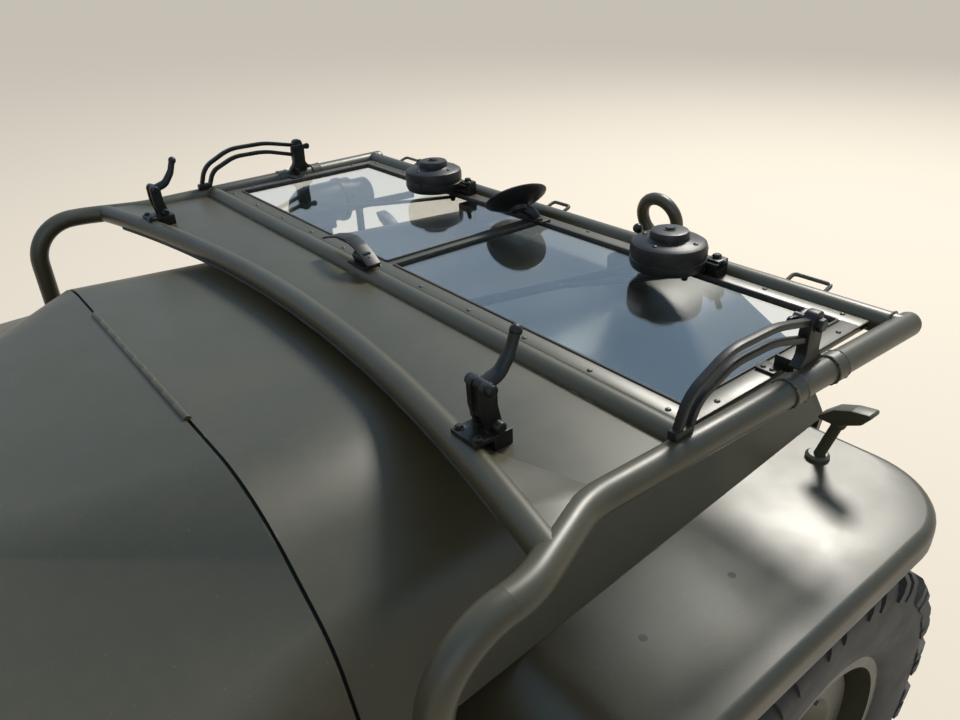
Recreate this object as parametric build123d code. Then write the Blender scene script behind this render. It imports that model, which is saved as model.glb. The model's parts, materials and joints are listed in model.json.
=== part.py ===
from build123d import *
import math
import os

# Light open 4x4 car of the 1940s with its windshield folded forward over the hood.
# Millimetres. +X is forward, +Y is the driver's left, +Z is up.
# The origin is on the ground, at the middle of the length and width.

os.makedirs("parts", exist_ok=True)

# Overall layout
FRONT_END = 1680.0
REAR_END = -1680.0
HALF_WIDTH = 787.5
WHEELBASE = 2032.0
TRACK = 1245.0
FRONT_AXLE_X = 1150.0
REAR_AXLE_X = FRONT_AXLE_X - WHEELBASE

# Sheet metal and the gaps between pieces
SHEET = 3.0
SEAT_GAP = 0.3
RUN_GAP = 0.05
SWING_GAP = 5.0

# Wheels
TYRE_R = 367.0
TYRE_W = 160.0
BEAD_R = 204.0
RIM_W = 124.0
RIM_T = 5.0
FLANGE_H = 15.0
SPINDLE_R = 18.0
SPINDLE_END = 28.0
HUB_R = 42.0
DRUM_R = 138.0
DRUM_DEPTH = 58.0
PLATE_T = 4.0
WHEEL_Y = TRACK / 2

# Steering
KINGPIN_Y = WHEEL_Y - 132.5
BALL_R = 58.0
CUP_R = 68.0
CUP_LIP = 12.0
ARM_REACH = 165.0
ARM_END_Y = KINGPIN_Y + 10.0
ARM_T = 12.0
TIE_R = 11.0

# Ladder frame
RAIL_Z = (455.0, 555.0)
RAIL_Y = (320.0, 370.0)
RAIL_T = 5.0
RAIL_X = (-1430.0, FRONT_END - 6)
HORN_X = 1380.0
HORN_H = 70.0
PAD_H = 5.0
DROP_Z = 428.0

# Springs
LEAF_T = 8.0
LEAF_W = 45.0
SPRING_Y = 345.0
SPRING_RISE = 64.0
AXLE_TUBE_R = 32.0
EYE_R = 16.0

# Body tub
FLOOR_Z = 560.0
BODY_Y = HALF_WIDTH - 52.5
SILL_Z = 700.0
TUB_TOP = 905.0
TUB_REAR = -1460.0
DOOR_X = (-420.0, 110.0)
WELL_Y = 470.0
WELL_TOP = 850.0
WELL_HALF = 420.0
ARCH_HALF = 405.0
ARCH_TOP = 822.0
EDGE_ROLL_R = 9.0

# Cowl and hood: sections through the sheet are (half width, height) corners with a bend radius
SEAM_X = 530.0
SEAM_GAP = 4.0
COWL_REAR_X = 250.0
HOOD_FRONT_X = 1369.7
FENDER_Z = 845.0
SECTION_R = (380.0, 140.0)
SEAM_SECTION = ((0.0, 1050.0), (309.0, 1048.0), (485.0, 948.0), (548.0, FENDER_Z))
NOSE_SECTION = ((0.0, 1024.0), (270.0, 1022.0), (442.0, 935.0), (500.0, FENDER_Z))
DASH_SECTION = ((0.0, 1021.0), (190.0, 1020.0), (560.0, 956.0), (616.0, FENDER_Z))
DASH_BOTTOM = 890.0
BARREL_R = 5.0

# Front fenders
FENDER_Y = (400.0, 733.0)
FENDER_FRONT_X = 1350.0
FENDER_BEND_X = 690.0
FENDER_FOOT = (526.3, 600.0)
FENDER_LIP = 36.0
FENDER_CORNER_R = 130.0

# Grille
GRILLE_X = (1370.0, 1382.0)
GRILLE_BOTTOM = 555.0
SLOT_COUNT = 9
SLOT_PITCH = 56.0
SLOT_W = 30.0
SLOT_Z = (640.0, 925.0)
LAMP_Y = 372.0
LAMP_Z = 800.0
LAMP_R = 84.0

# Folded windshield
WS_Z = 1080.0
WS_TUBE_R = 16.0
WS_TOP_X = SEAM_X + 738.0
WS_MID_X = SEAM_X + 342.0
WS_ARCH_X = SEAM_X + 217.0
WS_ARCH_R = 2430.0
WS_TOP_Y = 622.0
WS_NECK_X = SEAM_X + 200.0
WS_NECK_Y = 608.0
WS_LEG_Y = 650.0
WS_FLARE_X = SEAM_X + 95.0
WS_BEND_R = 75.0
WS_TIP = 26.0
PIVOT_X = SEAM_X
PIVOT_Z = 830.0
PIN_R = 10.0
EYE_BOSS_R = 20.0
EYE_HALF = 14.0

# Steering column and wheel
COLUMN_Y = 368.0
COLUMN_FOOT = (760.0, 600.0)
WHEEL_HUB = (10.0, 1090.0)
STEER_RIM_R = 200.0
STEER_BAR_R = 11.0
COLUMN_R = 22.0
HUB_T = 50.0

# Tow bar, stowed upright on the front bumper
TOW_PIVOT = (1655.0, 612.0)
TOW_EYE = (1568.0, 1008.0)
TOW_FOOT_Y = 300.0
TOW_EYE_R = (26.0, 52.0)
TOW_EYE_T = 26.0

# Spare wheel and can on the rear panel
SPARE_Y = -235.0
SPARE_Z = 850.0
CAN_Y = 430.0


def block(x, y, z):
    """Box from a (low, high) pair on each axis."""
    size = [b - a for a, b in (x, y, z)]
    middle = [(a + b) / 2 for a, b in (x, y, z)]
    return Pos(*middle) * Box(*size)


def corner_face(points, radius):
    """Face inside a closed outline, its corners rounded by one radius or by a list."""
    if radius == 0:
        return make_face(Polyline(*points, close=True))
    return make_face(FilletPolyline(*points, radius=radius, close=True))


def side_plate(points, y, radius=0):
    """Outline of (x, z) corners, extruded across the car between two y values."""
    face = corner_face([(px, y[0], pz) for px, pz in points], radius)
    return extrude(face, amount=y[1] - y[0], dir=(0, 1, 0))


def cross_plate(points, x, radius=0):
    """Outline of (y, z) corners, extruded along the car between two x values."""
    face = corner_face([(x[0], py, pz) for py, pz in points], radius)
    return extrude(face, amount=x[1] - x[0], dir=(1, 0, 0))


def plan_plate(points, z, radius=0):
    """Outline of (x, y) corners, extruded upward between two z values."""
    face = corner_face([(px, py, z[0]) for px, py in points], radius)
    return extrude(face, amount=z[1] - z[0], dir=(0, 0, 1))


def rod(a, b, radius):
    """Round bar between two points."""
    start, end = Vector(*a), Vector(*b)
    face = Plane(origin=start, z_dir=end - start) * Circle(radius)
    return extrude(face, amount=(end - start).length)


def tube_path(points, bends, radius):
    """Round bar along straight runs joined by arcs."""
    path = FilletPolyline(*points, radius=bends)
    return sweep(Plane(origin=path @ 0, z_dir=path % 0) * Circle(radius), path=path)


def ring(profile, x, z):
    """Turn a closed (y, r) profile about the cross axis through (x, z)."""
    face = make_face(Polyline(*[(x, py, z + pr) for py, pr in profile], close=True))
    return revolve(face, axis=Axis((x, 0, z), (0, 1, 0)))


def other_side(shape):
    """The same piece on the other side of the car."""
    return mirror(shape, about=Plane.XZ)


def both_sides(shape):
    """The piece and its mirror image."""
    return shape + other_side(shape)


def save(name, shape):
    """Write one piece."""
    export_step(shape, "parts/" + name + ".step")


def sheet_section(corners, x, inset, foot):
    """Closed section of the hood or cowl at x, drawn inside the sheet by inset."""
    half = [(cy - inset, cz - inset) for cy, cz in corners[1:]]
    side_y = half[-1][0]
    if foot < FENDER_Z - FENDER_LIP:
        half.append((side_y, foot))
    else:
        half[-1] = (side_y, foot)
    right = [(x, -cy, cz) for cy, cz in half]
    left = [(x, cy, cz) for cy, cz in reversed(half)]
    radii = [SECTION_R[0] - inset, SECTION_R[1] - inset]
    bends = radii + [0] * (2 * len(half) - 4) + radii[::-1]
    return make_face(FilletPolyline(*(right + left), radius=bends, close=True))


def lofted_sheet(front, rear, x, foot, inset):
    """Solid between two sections, or its inner core when inset is the sheet thickness."""
    ends = [sheet_section(rear, x[0], inset, foot), sheet_section(front, x[1], inset, foot)]
    return loft(ends, ruled=True)


def ladder_frame():
    """Two channel rails, cross members, spring hangers, body pads and rear bumperettes."""
    low, high = RAIL_Z
    rear, front = RAIL_X
    horn = high - HORN_H
    side = [(rear, low), (HORN_X, low), (front, horn), (front, high), (rear, high)]
    inner = [(rear + RAIL_T, low + RAIL_T), (HORN_X, low + RAIL_T), (front - RAIL_T, horn + RAIL_T)]
    inner += [(front - RAIL_T, high - RAIL_T), (rear + RAIL_T, high - RAIL_T)]
    rail = side_plate(side, RAIL_Y) - side_plate(inner, (RAIL_Y[0] - 1, RAIL_Y[1] - RAIL_T))
    for hanger_x in spring_eyes():
        ear = [(hanger_x - 24, low), (hanger_x + 24, low), (hanger_x + 20, eye_z() - 18), (hanger_x - 20, eye_z() - 18)]
        rail += side_plate(ear, (SPRING_Y - 29, SPRING_Y - 23.3))
        rail += side_plate(ear, (SPRING_Y + 23.3, SPRING_Y + 29))
        rail += rod((hanger_x, SPRING_Y - 29, eye_z()), (hanger_x, SPRING_Y + 29, eye_z()), 7)
    for pad_x in (420, -330, -1380):
        rail += block((pad_x - 30, pad_x + 30), (RAIL_Y[0] + 5, RAIL_Y[1] - 5), (high, high + PAD_H))
    rails = both_sides(rail)
    members = ((1560, 60, low + 20), (-330, 60, low + 20), (-1400, 60, low))
    for member_x, depth, member_low in members:
        span = (-RAIL_Y[0] - 1, RAIL_Y[0] + 1)
        rails += block((member_x - depth / 2, member_x + depth / 2), span, (member_low, high))
    drop = [(-RAIL_Y[0] - 1, high), (-RAIL_Y[0] - 1, DROP_Z - 22), (RAIL_Y[0] + 1, DROP_Z - 22), (RAIL_Y[0] + 1, high)]
    drop += [(RAIL_Y[0] - 14, high), (RAIL_Y[0] - 14, DROP_Z), (14 - RAIL_Y[0], DROP_Z), (14 - RAIL_Y[0], high)]
    rails += cross_plate(drop, (390, 450))
    for side_sign in (1, -1):
        y_pair = sorted((side_sign * 330, side_sign * 560))
        rails += block((rear - 55, rear - 50), y_pair, (low, high))
        rails += block((rear - 52, rear + 1), sorted((side_sign * 340, side_sign * 352)), (low, high))
    hook = rod((rear + 1, 0, 500), (rear - 60, 0, 500), 22)
    hook += rod((rear - 75, -14, 500), (rear - 75, 14, 500), 34) - rod((rear - 80, -15, 500), (rear - 80, 15, 500), 20)
    return rails + hook


def spring_eyes():
    """Places of the spring eyes along the rails."""
    places = []
    for axle_x, half in ((FRONT_AXLE_X, 455.0), (REAR_AXLE_X, 525.0)):
        places += [axle_x - half, axle_x + half]
    return places


def eye_z():
    """Height of the spring eyes."""
    return TYRE_R - AXLE_TUBE_R - 6 - LEAF_T / 2 + SPRING_RISE


def leaf_pack(axle_x, half):
    """Curved leaves under one axle, each shorter than the one above, with an eye at each end."""
    top = TYRE_R - AXLE_TUBE_R - 6
    bend = (half * half + SPRING_RISE * SPRING_RISE) / (2 * SPRING_RISE)
    centre_z = top + bend
    pack = None
    for index, share in enumerate((1.0, 0.86, 0.68, 0.5, 0.32)):
        outer = bend + (index + 1) * LEAF_T
        turn = math.asin(half * share / bend)
        points = []
        for radius in (bend + index * LEAF_T, outer):
            for angle in (-turn, 0, turn):
                points.append((axle_x + radius * math.sin(angle), SPRING_Y - LEAF_W / 2, centre_z - radius * math.cos(angle)))
        edges = [ThreePointArc(*points[:3]), Line(points[2], points[5]), ThreePointArc(*points[5:2:-1]), Line(points[3], points[0])]
        leaf = extrude(make_face(edges), amount=LEAF_W, dir=(0, 1, 0))
        pack = leaf if pack is None else pack + leaf
    for end in (-half, half):
        eye = rod((axle_x + end, SPRING_Y - LEAF_W / 2, eye_z()), (axle_x + end, SPRING_Y + LEAF_W / 2, eye_z()), EYE_R)
        pack += eye
        pack -= rod((axle_x + end, SPRING_Y - LEAF_W, eye_z()), (axle_x + end, SPRING_Y + LEAF_W, eye_z()), 7 + SEAT_GAP)
    return pack


def springs():
    """All four leaf springs."""
    packs = leaf_pack(FRONT_AXLE_X, 455.0) + leaf_pack(REAR_AXLE_X, 525.0)
    return both_sides(packs)


def axle_core(axle_x, half, bowl_side):
    """Axle tube, spring pads and the round gear housing, offset to the right."""
    core = rod((axle_x, -half, TYRE_R), (axle_x, half, TYRE_R), AXLE_TUBE_R)
    core += Pos(axle_x, -215, TYRE_R) * Sphere(112)
    core += rod((axle_x, -215, TYRE_R), (axle_x + bowl_side * 128, -215, TYRE_R + 8), 46)
    core += rod((axle_x, -215, TYRE_R), (axle_x - bowl_side * 118, -215, TYRE_R), 88)
    pad = block((axle_x - 38, axle_x + 38), (SPRING_Y - 24, SPRING_Y + 24), (TYRE_R - AXLE_TUBE_R - 5, TYRE_R))
    return core + both_sides(pad)


def front_axle():
    """Front axle with a ball at each end for the steering knuckles."""
    ball = Pos(FRONT_AXLE_X, KINGPIN_Y, TYRE_R) * Sphere(BALL_R)
    return axle_core(FRONT_AXLE_X, KINGPIN_Y - 20, -1) + both_sides(ball)


def brake_plate_y():
    """Inner face of the left brake plate."""
    return WHEEL_Y - DRUM_DEPTH - SWING_GAP - PLATE_T


def stub(axle_x):
    """Brake plate and spindle that carry a wheel on the left."""
    plate_y = brake_plate_y()
    plate = rod((axle_x, plate_y, TYRE_R), (axle_x, plate_y + PLATE_T, TYRE_R), DRUM_R)
    return plate + rod((axle_x, plate_y, TYRE_R), (axle_x, WHEEL_Y + SPINDLE_END, TYRE_R), SPINDLE_R)


def rear_axle():
    """Rear axle with its brake plates and spindles."""
    return axle_core(REAR_AXLE_X, brake_plate_y() + 1, 1) + both_sides(stub(REAR_AXLE_X))


def knuckle():
    """Left steering knuckle: cup round the axle ball, steering arm, brake plate and spindle."""
    inner = BALL_R + SEAT_GAP
    depth = brake_plate_y() - KINGPIN_Y + 1
    arcs = []
    for radius, far in ((CUP_R, depth), (inner, inner)):
        start_turn = math.acos(-CUP_LIP / radius)
        end_turn = math.acos(min(1.0, far / radius))
        turns = (start_turn, (start_turn + end_turn) / 2, end_turn)
        arcs.append([(FRONT_AXLE_X, KINGPIN_Y + radius * math.cos(a), TYRE_R + radius * math.sin(a)) for a in turns])
    outer_arc, inner_arc = arcs
    floor_point = (FRONT_AXLE_X, KINGPIN_Y + depth, TYRE_R)
    edges = [ThreePointArc(*outer_arc), Line(outer_arc[2], floor_point), Line(floor_point, inner_arc[2])]
    edges += [ThreePointArc(*inner_arc[::-1]), Line(inner_arc[0], outer_arc[0])]
    cup = revolve(make_face(edges), axis=Axis((FRONT_AXLE_X, 0, TYRE_R), (0, 1, 0)))
    tip = (FRONT_AXLE_X + ARM_REACH, ARM_END_Y)
    arm_low = TYRE_R + TIE_R + SEAT_GAP + 2
    root_x = FRONT_AXLE_X + BALL_R + 2
    arm = plan_plate(
        [(root_x, KINGPIN_Y + 24), (root_x, KINGPIN_Y - 6), (tip[0], tip[1] - 16), (tip[0], tip[1] + 16)],
        (arm_low, arm_low + ARM_T),
    )
    arm += Pos(tip[0], tip[1], arm_low + ARM_T / 2) * Cylinder(16, ARM_T)
    return cup + arm + stub(FRONT_AXLE_X)


def tie_rod():
    """Rod between the two steering arms, its end joints just below them."""
    x = FRONT_AXLE_X + ARM_REACH
    bar = rod((x, -ARM_END_Y, TYRE_R), (x, ARM_END_Y, TYRE_R), TIE_R)
    knob = Pos(x, ARM_END_Y, TYRE_R) * Cylinder(14, 2 * TIE_R + 4)
    return bar + both_sides(knob)


def tyre(x, y, z):
    """Tyre with square shoulders, out to the tips of its lugs."""
    half = TYRE_W / 2
    bead = RIM_W / 2 - RIM_T - SEAT_GAP
    profile = [(bead, BEAD_R + SEAT_GAP), (bead, BEAD_R + FLANGE_H), (half - 6, BEAD_R + 40)]
    profile += [(half, BEAD_R + 75), (half, TYRE_R - 42), (half - 9, TYRE_R - 6), (half - 16, TYRE_R)]
    full = profile + [(-py, pr) for py, pr in reversed(profile)]
    return Pos(0, y, 0) * ring(full, x, z)


def rim(x, y, z, outward, spare=False):
    """Pressed steel wheel; a running one has its brake drum, hub and cap. outward is 1 on the left."""
    half = RIM_W / 2
    inner = BEAD_R - RIM_T
    barrel = [(half, inner), (half, BEAD_R + FLANGE_H), (half - RIM_T, BEAD_R + FLANGE_H), (half - RIM_T, BEAD_R)]
    barrel += [(-py, pr) for py, pr in reversed(barrel)]
    dish = [(0, HUB_R), (0, 92), (28, 124), (28, 170), (6, inner + 1), (12, inner + 1), (33, 172), (33, 122), (5, 90), (5, HUB_R)]
    drum = [(-DRUM_DEPTH, DRUM_R - 8), (-DRUM_DEPTH, DRUM_R), (1, DRUM_R), (1, HUB_R - 1), (-5, HUB_R - 1), (-5, DRUM_R - 8)]
    hub = [(-DRUM_DEPTH, SPINDLE_R + RUN_GAP), (-DRUM_DEPTH, HUB_R), (36, HUB_R), (44, 32), (60, 28), (60, 0)]
    hub += [(SPINDLE_END + 1, 0), (SPINDLE_END + 1, SPINDLE_R + RUN_GAP)]
    solid = ring(barrel, x, z) + ring(dish, x, z)
    if not spare:
        solid += ring(drum, x, z) + ring(hub, x, z)
    if outward < 0:
        solid = mirror(solid, about=Plane.XZ)
    return Pos(0, y, 0) * solid


def front_bumper():
    """Straight channel bumper with hinge ears for the tow bar."""
    beam = block((1635, FRONT_END), (-675, 675), (450, 580)) - block((1634, FRONT_END - 6), (-670, 670), (456, 574))
    x, z = TOW_PIVOT
    for inner in (TOW_FOOT_Y - 46, TOW_FOOT_Y + 12):
        ear = side_plate([(x - 22, 580), (x + 22, 580), (x + 14, z + 16), (x - 14, z + 16)], (inner, inner + 10))
        beam += both_sides(ear)
    beam += both_sides(rod((x, TOW_FOOT_Y - 46, z), (x, TOW_FOOT_Y + 22, z), 8))
    return beam


def tow_bar():
    """Stowed A-shaped tow bar with its ring eye."""
    foot = (TOW_PIVOT[0], TOW_FOOT_Y - 1, TOW_PIVOT[1])
    tip = (TOW_EYE[0], 20, TOW_EYE[1])
    leg = rod(foot, tip, 12)
    leg += rod((foot[0], TOW_FOOT_Y - 35.5, foot[2]), (foot[0], TOW_FOOT_Y + 11.5, foot[2]), 15)
    bar = both_sides(leg)
    lean = math.degrees(math.atan2(TOW_PIVOT[0] - TOW_EYE[0], TOW_EYE[1] - TOW_PIVOT[1]))
    eye = Cylinder(TOW_EYE_R[1], TOW_EYE_T) - Cylinder(TOW_EYE_R[0], TOW_EYE_T + 2)
    bar += Pos(TOW_EYE[0], 0, TOW_EYE[1]) * Rot(0, 90 - lean, 0) * eye
    bar -= Pos(TOW_EYE[0], 0, TOW_EYE[1]) * Rot(0, 90 - lean, 0) * Cylinder(TOW_EYE_R[0], TOW_EYE_T + 60)
    pin = rod((foot[0], TOW_FOOT_Y - 60, foot[2]), (foot[0], TOW_FOOT_Y + 30, foot[2]), 8 + RUN_GAP)
    return bar - both_sides(pin)


def engine_block():
    """Plain block for the engine with its sump."""
    return block((620, 1200), (-165, 165), (520, 960)) + block((620, 980), (-120, 120), (420, 521))


def radiator():
    """Radiator core, header tank and cap behind the grille."""
    core = block((1288, 1340), (-235, 235), (560, 960))
    core += block((1295, 1335), (-RAIL_Y[1] + 10, RAIL_Y[1] - 10), (RAIL_Z[1], RAIL_Z[1] + 6))
    return core + block((1280, 1346), (-245, 245), (940, 985)) + Pos(1312, 0, 992) * Cylinder(26, 16)


def driveline():
    """Gearbox, transfer case and the two open drive shafts."""
    case = block((330, 620 - SEAT_GAP), (-105, 105), (DROP_Z + SEAT_GAP, 552))
    case += block((30, 331), (-290, 120), (420, 552))
    front_end = (FRONT_AXLE_X - 128 - 4, -215, TYRE_R + 8)
    rear_end = (REAR_AXLE_X + 128 + 4, -215, TYRE_R + 8)
    case += rod((329, -215, 470), front_end, 24)
    case += rod((31, -215, 470), rear_end, 24)
    return case


def exhaust():
    """Pipe, silencer and tail pipe that leaves ahead of the left rear wheel."""
    points = [(700, 200, 540), (700, 200, 462), (-270, 200, 462), (-270, 200, 426), (-270, 690, 426)]
    pipe = rod(points[0], points[1], 20) + Pos(*points[1]) * Sphere(20)
    pipe += rod(points[1], points[2], 20) + Pos(*points[2]) * Sphere(20)
    pipe += rod(points[2], points[3], 20) + Pos(*points[3]) * Sphere(20)
    pipe += rod(points[3], points[4], 20)
    pipe += rod((-190, 200, 462), (340, 200, 462), 55)
    return pipe + block((60, 90), (180, 220), (500, FLOOR_Z - SEAT_GAP))


def column_hole(radius):
    """Round space along the steering column."""
    a = (COLUMN_FOOT[0], COLUMN_Y, COLUMN_FOOT[1])
    b = (WHEEL_HUB[0], COLUMN_Y, WHEEL_HUB[1])
    return rod(a, b, radius)


def floor():
    """Floor with toe board, tunnel cover, gear levers and the two inner wheel houses."""
    top = FLOOR_Z + SHEET
    front = SEAM_X - SEAM_GAP - SHEET - SEAT_GAP
    inner = BODY_Y - SHEET - SEAT_GAP
    narrow = 540.0
    plan = [(front, -narrow), (COWL_REAR_X, -narrow - 52), (DOOR_X[1], -inner), (TUB_REAR + SHEET + SEAT_GAP, -inner)]
    plan += [(px, -py) for px, py in reversed(plan)]
    pan = plan_plate(plan, (FLOOR_Z, top))
    well_x = (REAR_AXLE_X - WELL_HALF, REAR_AXLE_X + WELL_HALF)
    well = block(well_x, (WELL_Y, inner), (FLOOR_Z, WELL_TOP))
    space = block((well_x[0] + SHEET, well_x[1] - SHEET), (WELL_Y + SHEET, inner + 1), (FLOOR_Z - 1, WELL_TOP - SHEET))
    pan += both_sides(well)
    pan -= both_sides(space)
    toe = [(front, top + 130), (front, top + 126), (front - 150, top - 1), (front - 156, top - 1), (front - 4, top + 133)]
    pan += side_plate(toe, (-narrow + 20, narrow - 20))
    pan += side_plate([(front - 1, top - 1), (front - 1, 640), (330, 640), (60, 590), (30, top - 1)], (-110, 110))
    for lever_x, lever_y, tip_x, tip_z in ((250, 0, 170, 850), (200, -60, 150, 760), (165, -85, 120, 740)):
        pan += rod((lever_x, lever_y, 600), (tip_x, lever_y, tip_z), 8)
        pan += Pos(tip_x, lever_y, tip_z) * Sphere(17)
    return pan - column_hole(COLUMN_R + SWING_GAP) + seat_hinge()


def cowl():
    """Cowl with its crowned top, tapering sides, fire wall, dash and windshield pivots."""
    front = SEAM_X - SEAM_GAP
    body = lofted_sheet(SEAM_SECTION, DASH_SECTION, (COWL_REAR_X, front), FLOOR_Z, 0)
    core = lofted_sheet(SEAM_SECTION, DASH_SECTION, (COWL_REAR_X, front), FLOOR_Z - 1, SHEET)
    shell = body - (core & block((COWL_REAR_X - 1, front - SHEET), (-800, 800), (0, 1200)))
    dash = body & block((COWL_REAR_X, COWL_REAR_X + SHEET), (-800, 800), (DASH_BOTTOM, 1200))
    dash -= block((0, front), (-590, -300), (DASH_BOTTOM + 18, 950))
    shell += dash
    shell -= column_hole(COLUMN_R + SWING_GAP)
    for gauge_y, gauge_r in ((0, 48), (105, 30), (-105, 30), (175, 24)):
        shell += Pos(COWL_REAR_X - 4, gauge_y, 965) * Rot(0, 90, 0) * Cylinder(gauge_r, 10)
    pivot = rod((PIVOT_X, 545, PIVOT_Z), (PIVOT_X, WS_LEG_Y + EYE_HALF + 4, PIVOT_Z), PIN_R)
    pivot += block((front - 60, PIVOT_X + 14), (545, 556), (PIVOT_Z - 34, PIVOT_Z + 14))
    pivot += rod((PIVOT_X, 550, PIVOT_Z), (PIVOT_X, WS_LEG_Y - EYE_HALF - SEAT_GAP, PIVOT_Z), PIN_R + 1.5)
    return shell + both_sides(pivot)


def body_side():
    """Left tub side with the low entrance, the rear wheel arch and a rolled top edge."""
    flare = [(COWL_REAR_X - SEAT_GAP, 618), (DOOR_X[1], BODY_Y), (TUB_REAR, BODY_Y)]
    inner = [(TUB_REAR, BODY_Y - SHEET), (DOOR_X[1] + 2, BODY_Y - SHEET), (COWL_REAR_X - SEAT_GAP, 618 - SHEET)]
    wall = plan_plate(flare + inner, (FLOOR_Z, 1100))
    top = [(COWL_REAR_X + 20, FLOOR_Z - 1), (COWL_REAR_X + 20, 940), (COWL_REAR_X - 40, 940)]
    top += [(DOOR_X[1] + 10, SILL_Z), (DOOR_X[0] + 70, SILL_Z), (DOOR_X[0], TUB_TOP), (TUB_REAR - 1, TUB_TOP), (TUB_REAR - 1, FLOOR_Z - 1)]
    keep = side_plate(top, (0, 900), [0, 0, 40, 90, 110, 70, 0, 0])
    arch = [(REAR_AXLE_X - ARCH_HALF, FLOOR_Z - 2), (REAR_AXLE_X - ARCH_HALF, 690), (REAR_AXLE_X - 235, ARCH_TOP)]
    arch += [(REAR_AXLE_X + 235, ARCH_TOP), (REAR_AXLE_X + ARCH_HALF, 690), (REAR_AXLE_X + ARCH_HALF, FLOOR_Z - 2)]
    wall = (wall & keep) - side_plate(arch, (0, 900), [0, 100, 100, 100, 100, 0])
    roll_z = TUB_TOP - EDGE_ROLL_R
    roll_y = BODY_Y - SHEET - EDGE_ROLL_R + 1
    wall += rod((DOOR_X[0] - 60, roll_y, roll_z), (TUB_REAR + 30, roll_y, roll_z), EDGE_ROLL_R)
    for handle_x in (-560, -1300):
        handle = tube_path(
            [(handle_x, BODY_Y - 2, 800), (handle_x, HALF_WIDTH - 8, 800), (handle_x + 120, HALF_WIDTH - 8, 800), (handle_x + 120, BODY_Y - 2, 800)],
            [20, 20], 8,
        )
        wall += handle
    return wall


def rear_panel():
    """Rear wall with rolled top edge and the bracket of the spare wheel and can."""
    wall = block((TUB_REAR, TUB_REAR + SHEET), (-BODY_Y + SHEET + SEAT_GAP, BODY_Y - SHEET - SEAT_GAP), (FLOOR_Z, TUB_TOP))
    wall += rod((TUB_REAR + 10, -680, TUB_TOP - 10), (TUB_REAR + 10, 680, TUB_TOP - 10), EDGE_ROLL_R)
    bracket = block((TUB_REAR - 40, TUB_REAR), (SPARE_Y - 110, SPARE_Y + 110), (SPARE_Z - 110, SPARE_Z + 40))
    bracket -= block((TUB_REAR - 36, TUB_REAR - 1), (SPARE_Y - 104, SPARE_Y + 104), (SPARE_Z - 111, SPARE_Z + 41))
    spare_x = REAR_END + TYRE_W / 2
    wall += bracket
    wall += rod((TUB_REAR - 37, SPARE_Y, SPARE_Z), (spare_x + SEAT_GAP, SPARE_Y, SPARE_Z), 78)
    tray = block((TUB_REAR - 185, TUB_REAR), (CAN_Y - 185, CAN_Y + 185), (590, 596))
    tray += block((TUB_REAR - 185, TUB_REAR - 181), (CAN_Y - 185, CAN_Y + 185), (590, 640))
    return wall + tray


def hood():
    """Hood with its crowned top and side flanges, hinge barrel and two rest blocks."""
    x = (SEAM_X, HOOD_FRONT_X)
    foot = FENDER_Z + SEAT_GAP
    skin = lofted_sheet(NOSE_SECTION, SEAM_SECTION, x, foot, 0)
    skin -= lofted_sheet(NOSE_SECTION, SEAM_SECTION, x, foot - 1, SHEET)
    barrel_x = SEAM_X - SEAM_GAP + SEAT_GAP + BARREL_R
    skin += rod((barrel_x, -190, SEAM_SECTION[0][1]), (barrel_x, 190, SEAM_SECTION[0][1]), BARREL_R)
    rest_x = WS_TOP_X
    block_top = WS_Z - WS_TUBE_R - SEAT_GAP
    rest = block((rest_x - 45, rest_x + 45), (215, 275), (1015, block_top))
    rest -= lofted_sheet(NOSE_SECTION, SEAM_SECTION, x, foot - 1, SHEET)
    return skin + both_sides(rest)


def grille():
    """Pressed grille panel with upright slots and lamp openings."""
    outer = [(cy, cz) for cy, cz in NOSE_SECTION[1:]]
    lower = [(480, 690), (345, GRILLE_BOTTOM)]
    half = outer + lower
    full = [(-cy, cz) for cy, cz in half] + [(cy, cz) for cy, cz in reversed(half)]
    bends = [260, 120, 30, 40, 30]
    panel = cross_plate(full, GRILLE_X, bends + bends[::-1])
    half_h = (SLOT_Z[1] - SLOT_Z[0]) / 2
    slot = extrude(Plane.YZ * SlotOverall(2 * half_h, SLOT_W, rotation=90), amount=40)
    for index in range(SLOT_COUNT):
        slot_y = (index - (SLOT_COUNT - 1) / 2) * SLOT_PITCH
        panel -= Pos(GRILLE_X[0] - 10, slot_y, SLOT_Z[0] + half_h) * slot
    lamp = Pos(GRILLE_X[0], LAMP_Y, LAMP_Z) * Rot(0, 90, 0) * Cylinder(LAMP_R, 60)
    return panel - both_sides(lamp)


def fender_slab(inset, drop):
    """Fender block between its plan outline and side line, reduced by inset and drop."""
    front = FENDER_FRONT_X - inset
    outer = FENDER_Y[1] - inset
    foot_x, foot_z = FENDER_FOOT
    plan = [(foot_x - 40, FENDER_Y[0]), (front, FENDER_Y[0]), (front, outer), (foot_x - 40, outer)]
    column = plan_plate(plan, (500, 900), [0, 0, FENDER_CORNER_R - inset, 0])
    high = FENDER_Z - drop
    low = FENDER_Z - FENDER_LIP - drop
    side = [(foot_x, foot_z - drop), (foot_x, foot_z - drop - 50), (FENDER_BEND_X + 18, low)]
    side += [(FENDER_FRONT_X + 10, low), (FENDER_FRONT_X + 10, high), (FENDER_BEND_X, high)]
    return column & side_plate(side, (300, 800), [0, 0, 60, 0, 0, 90])


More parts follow.
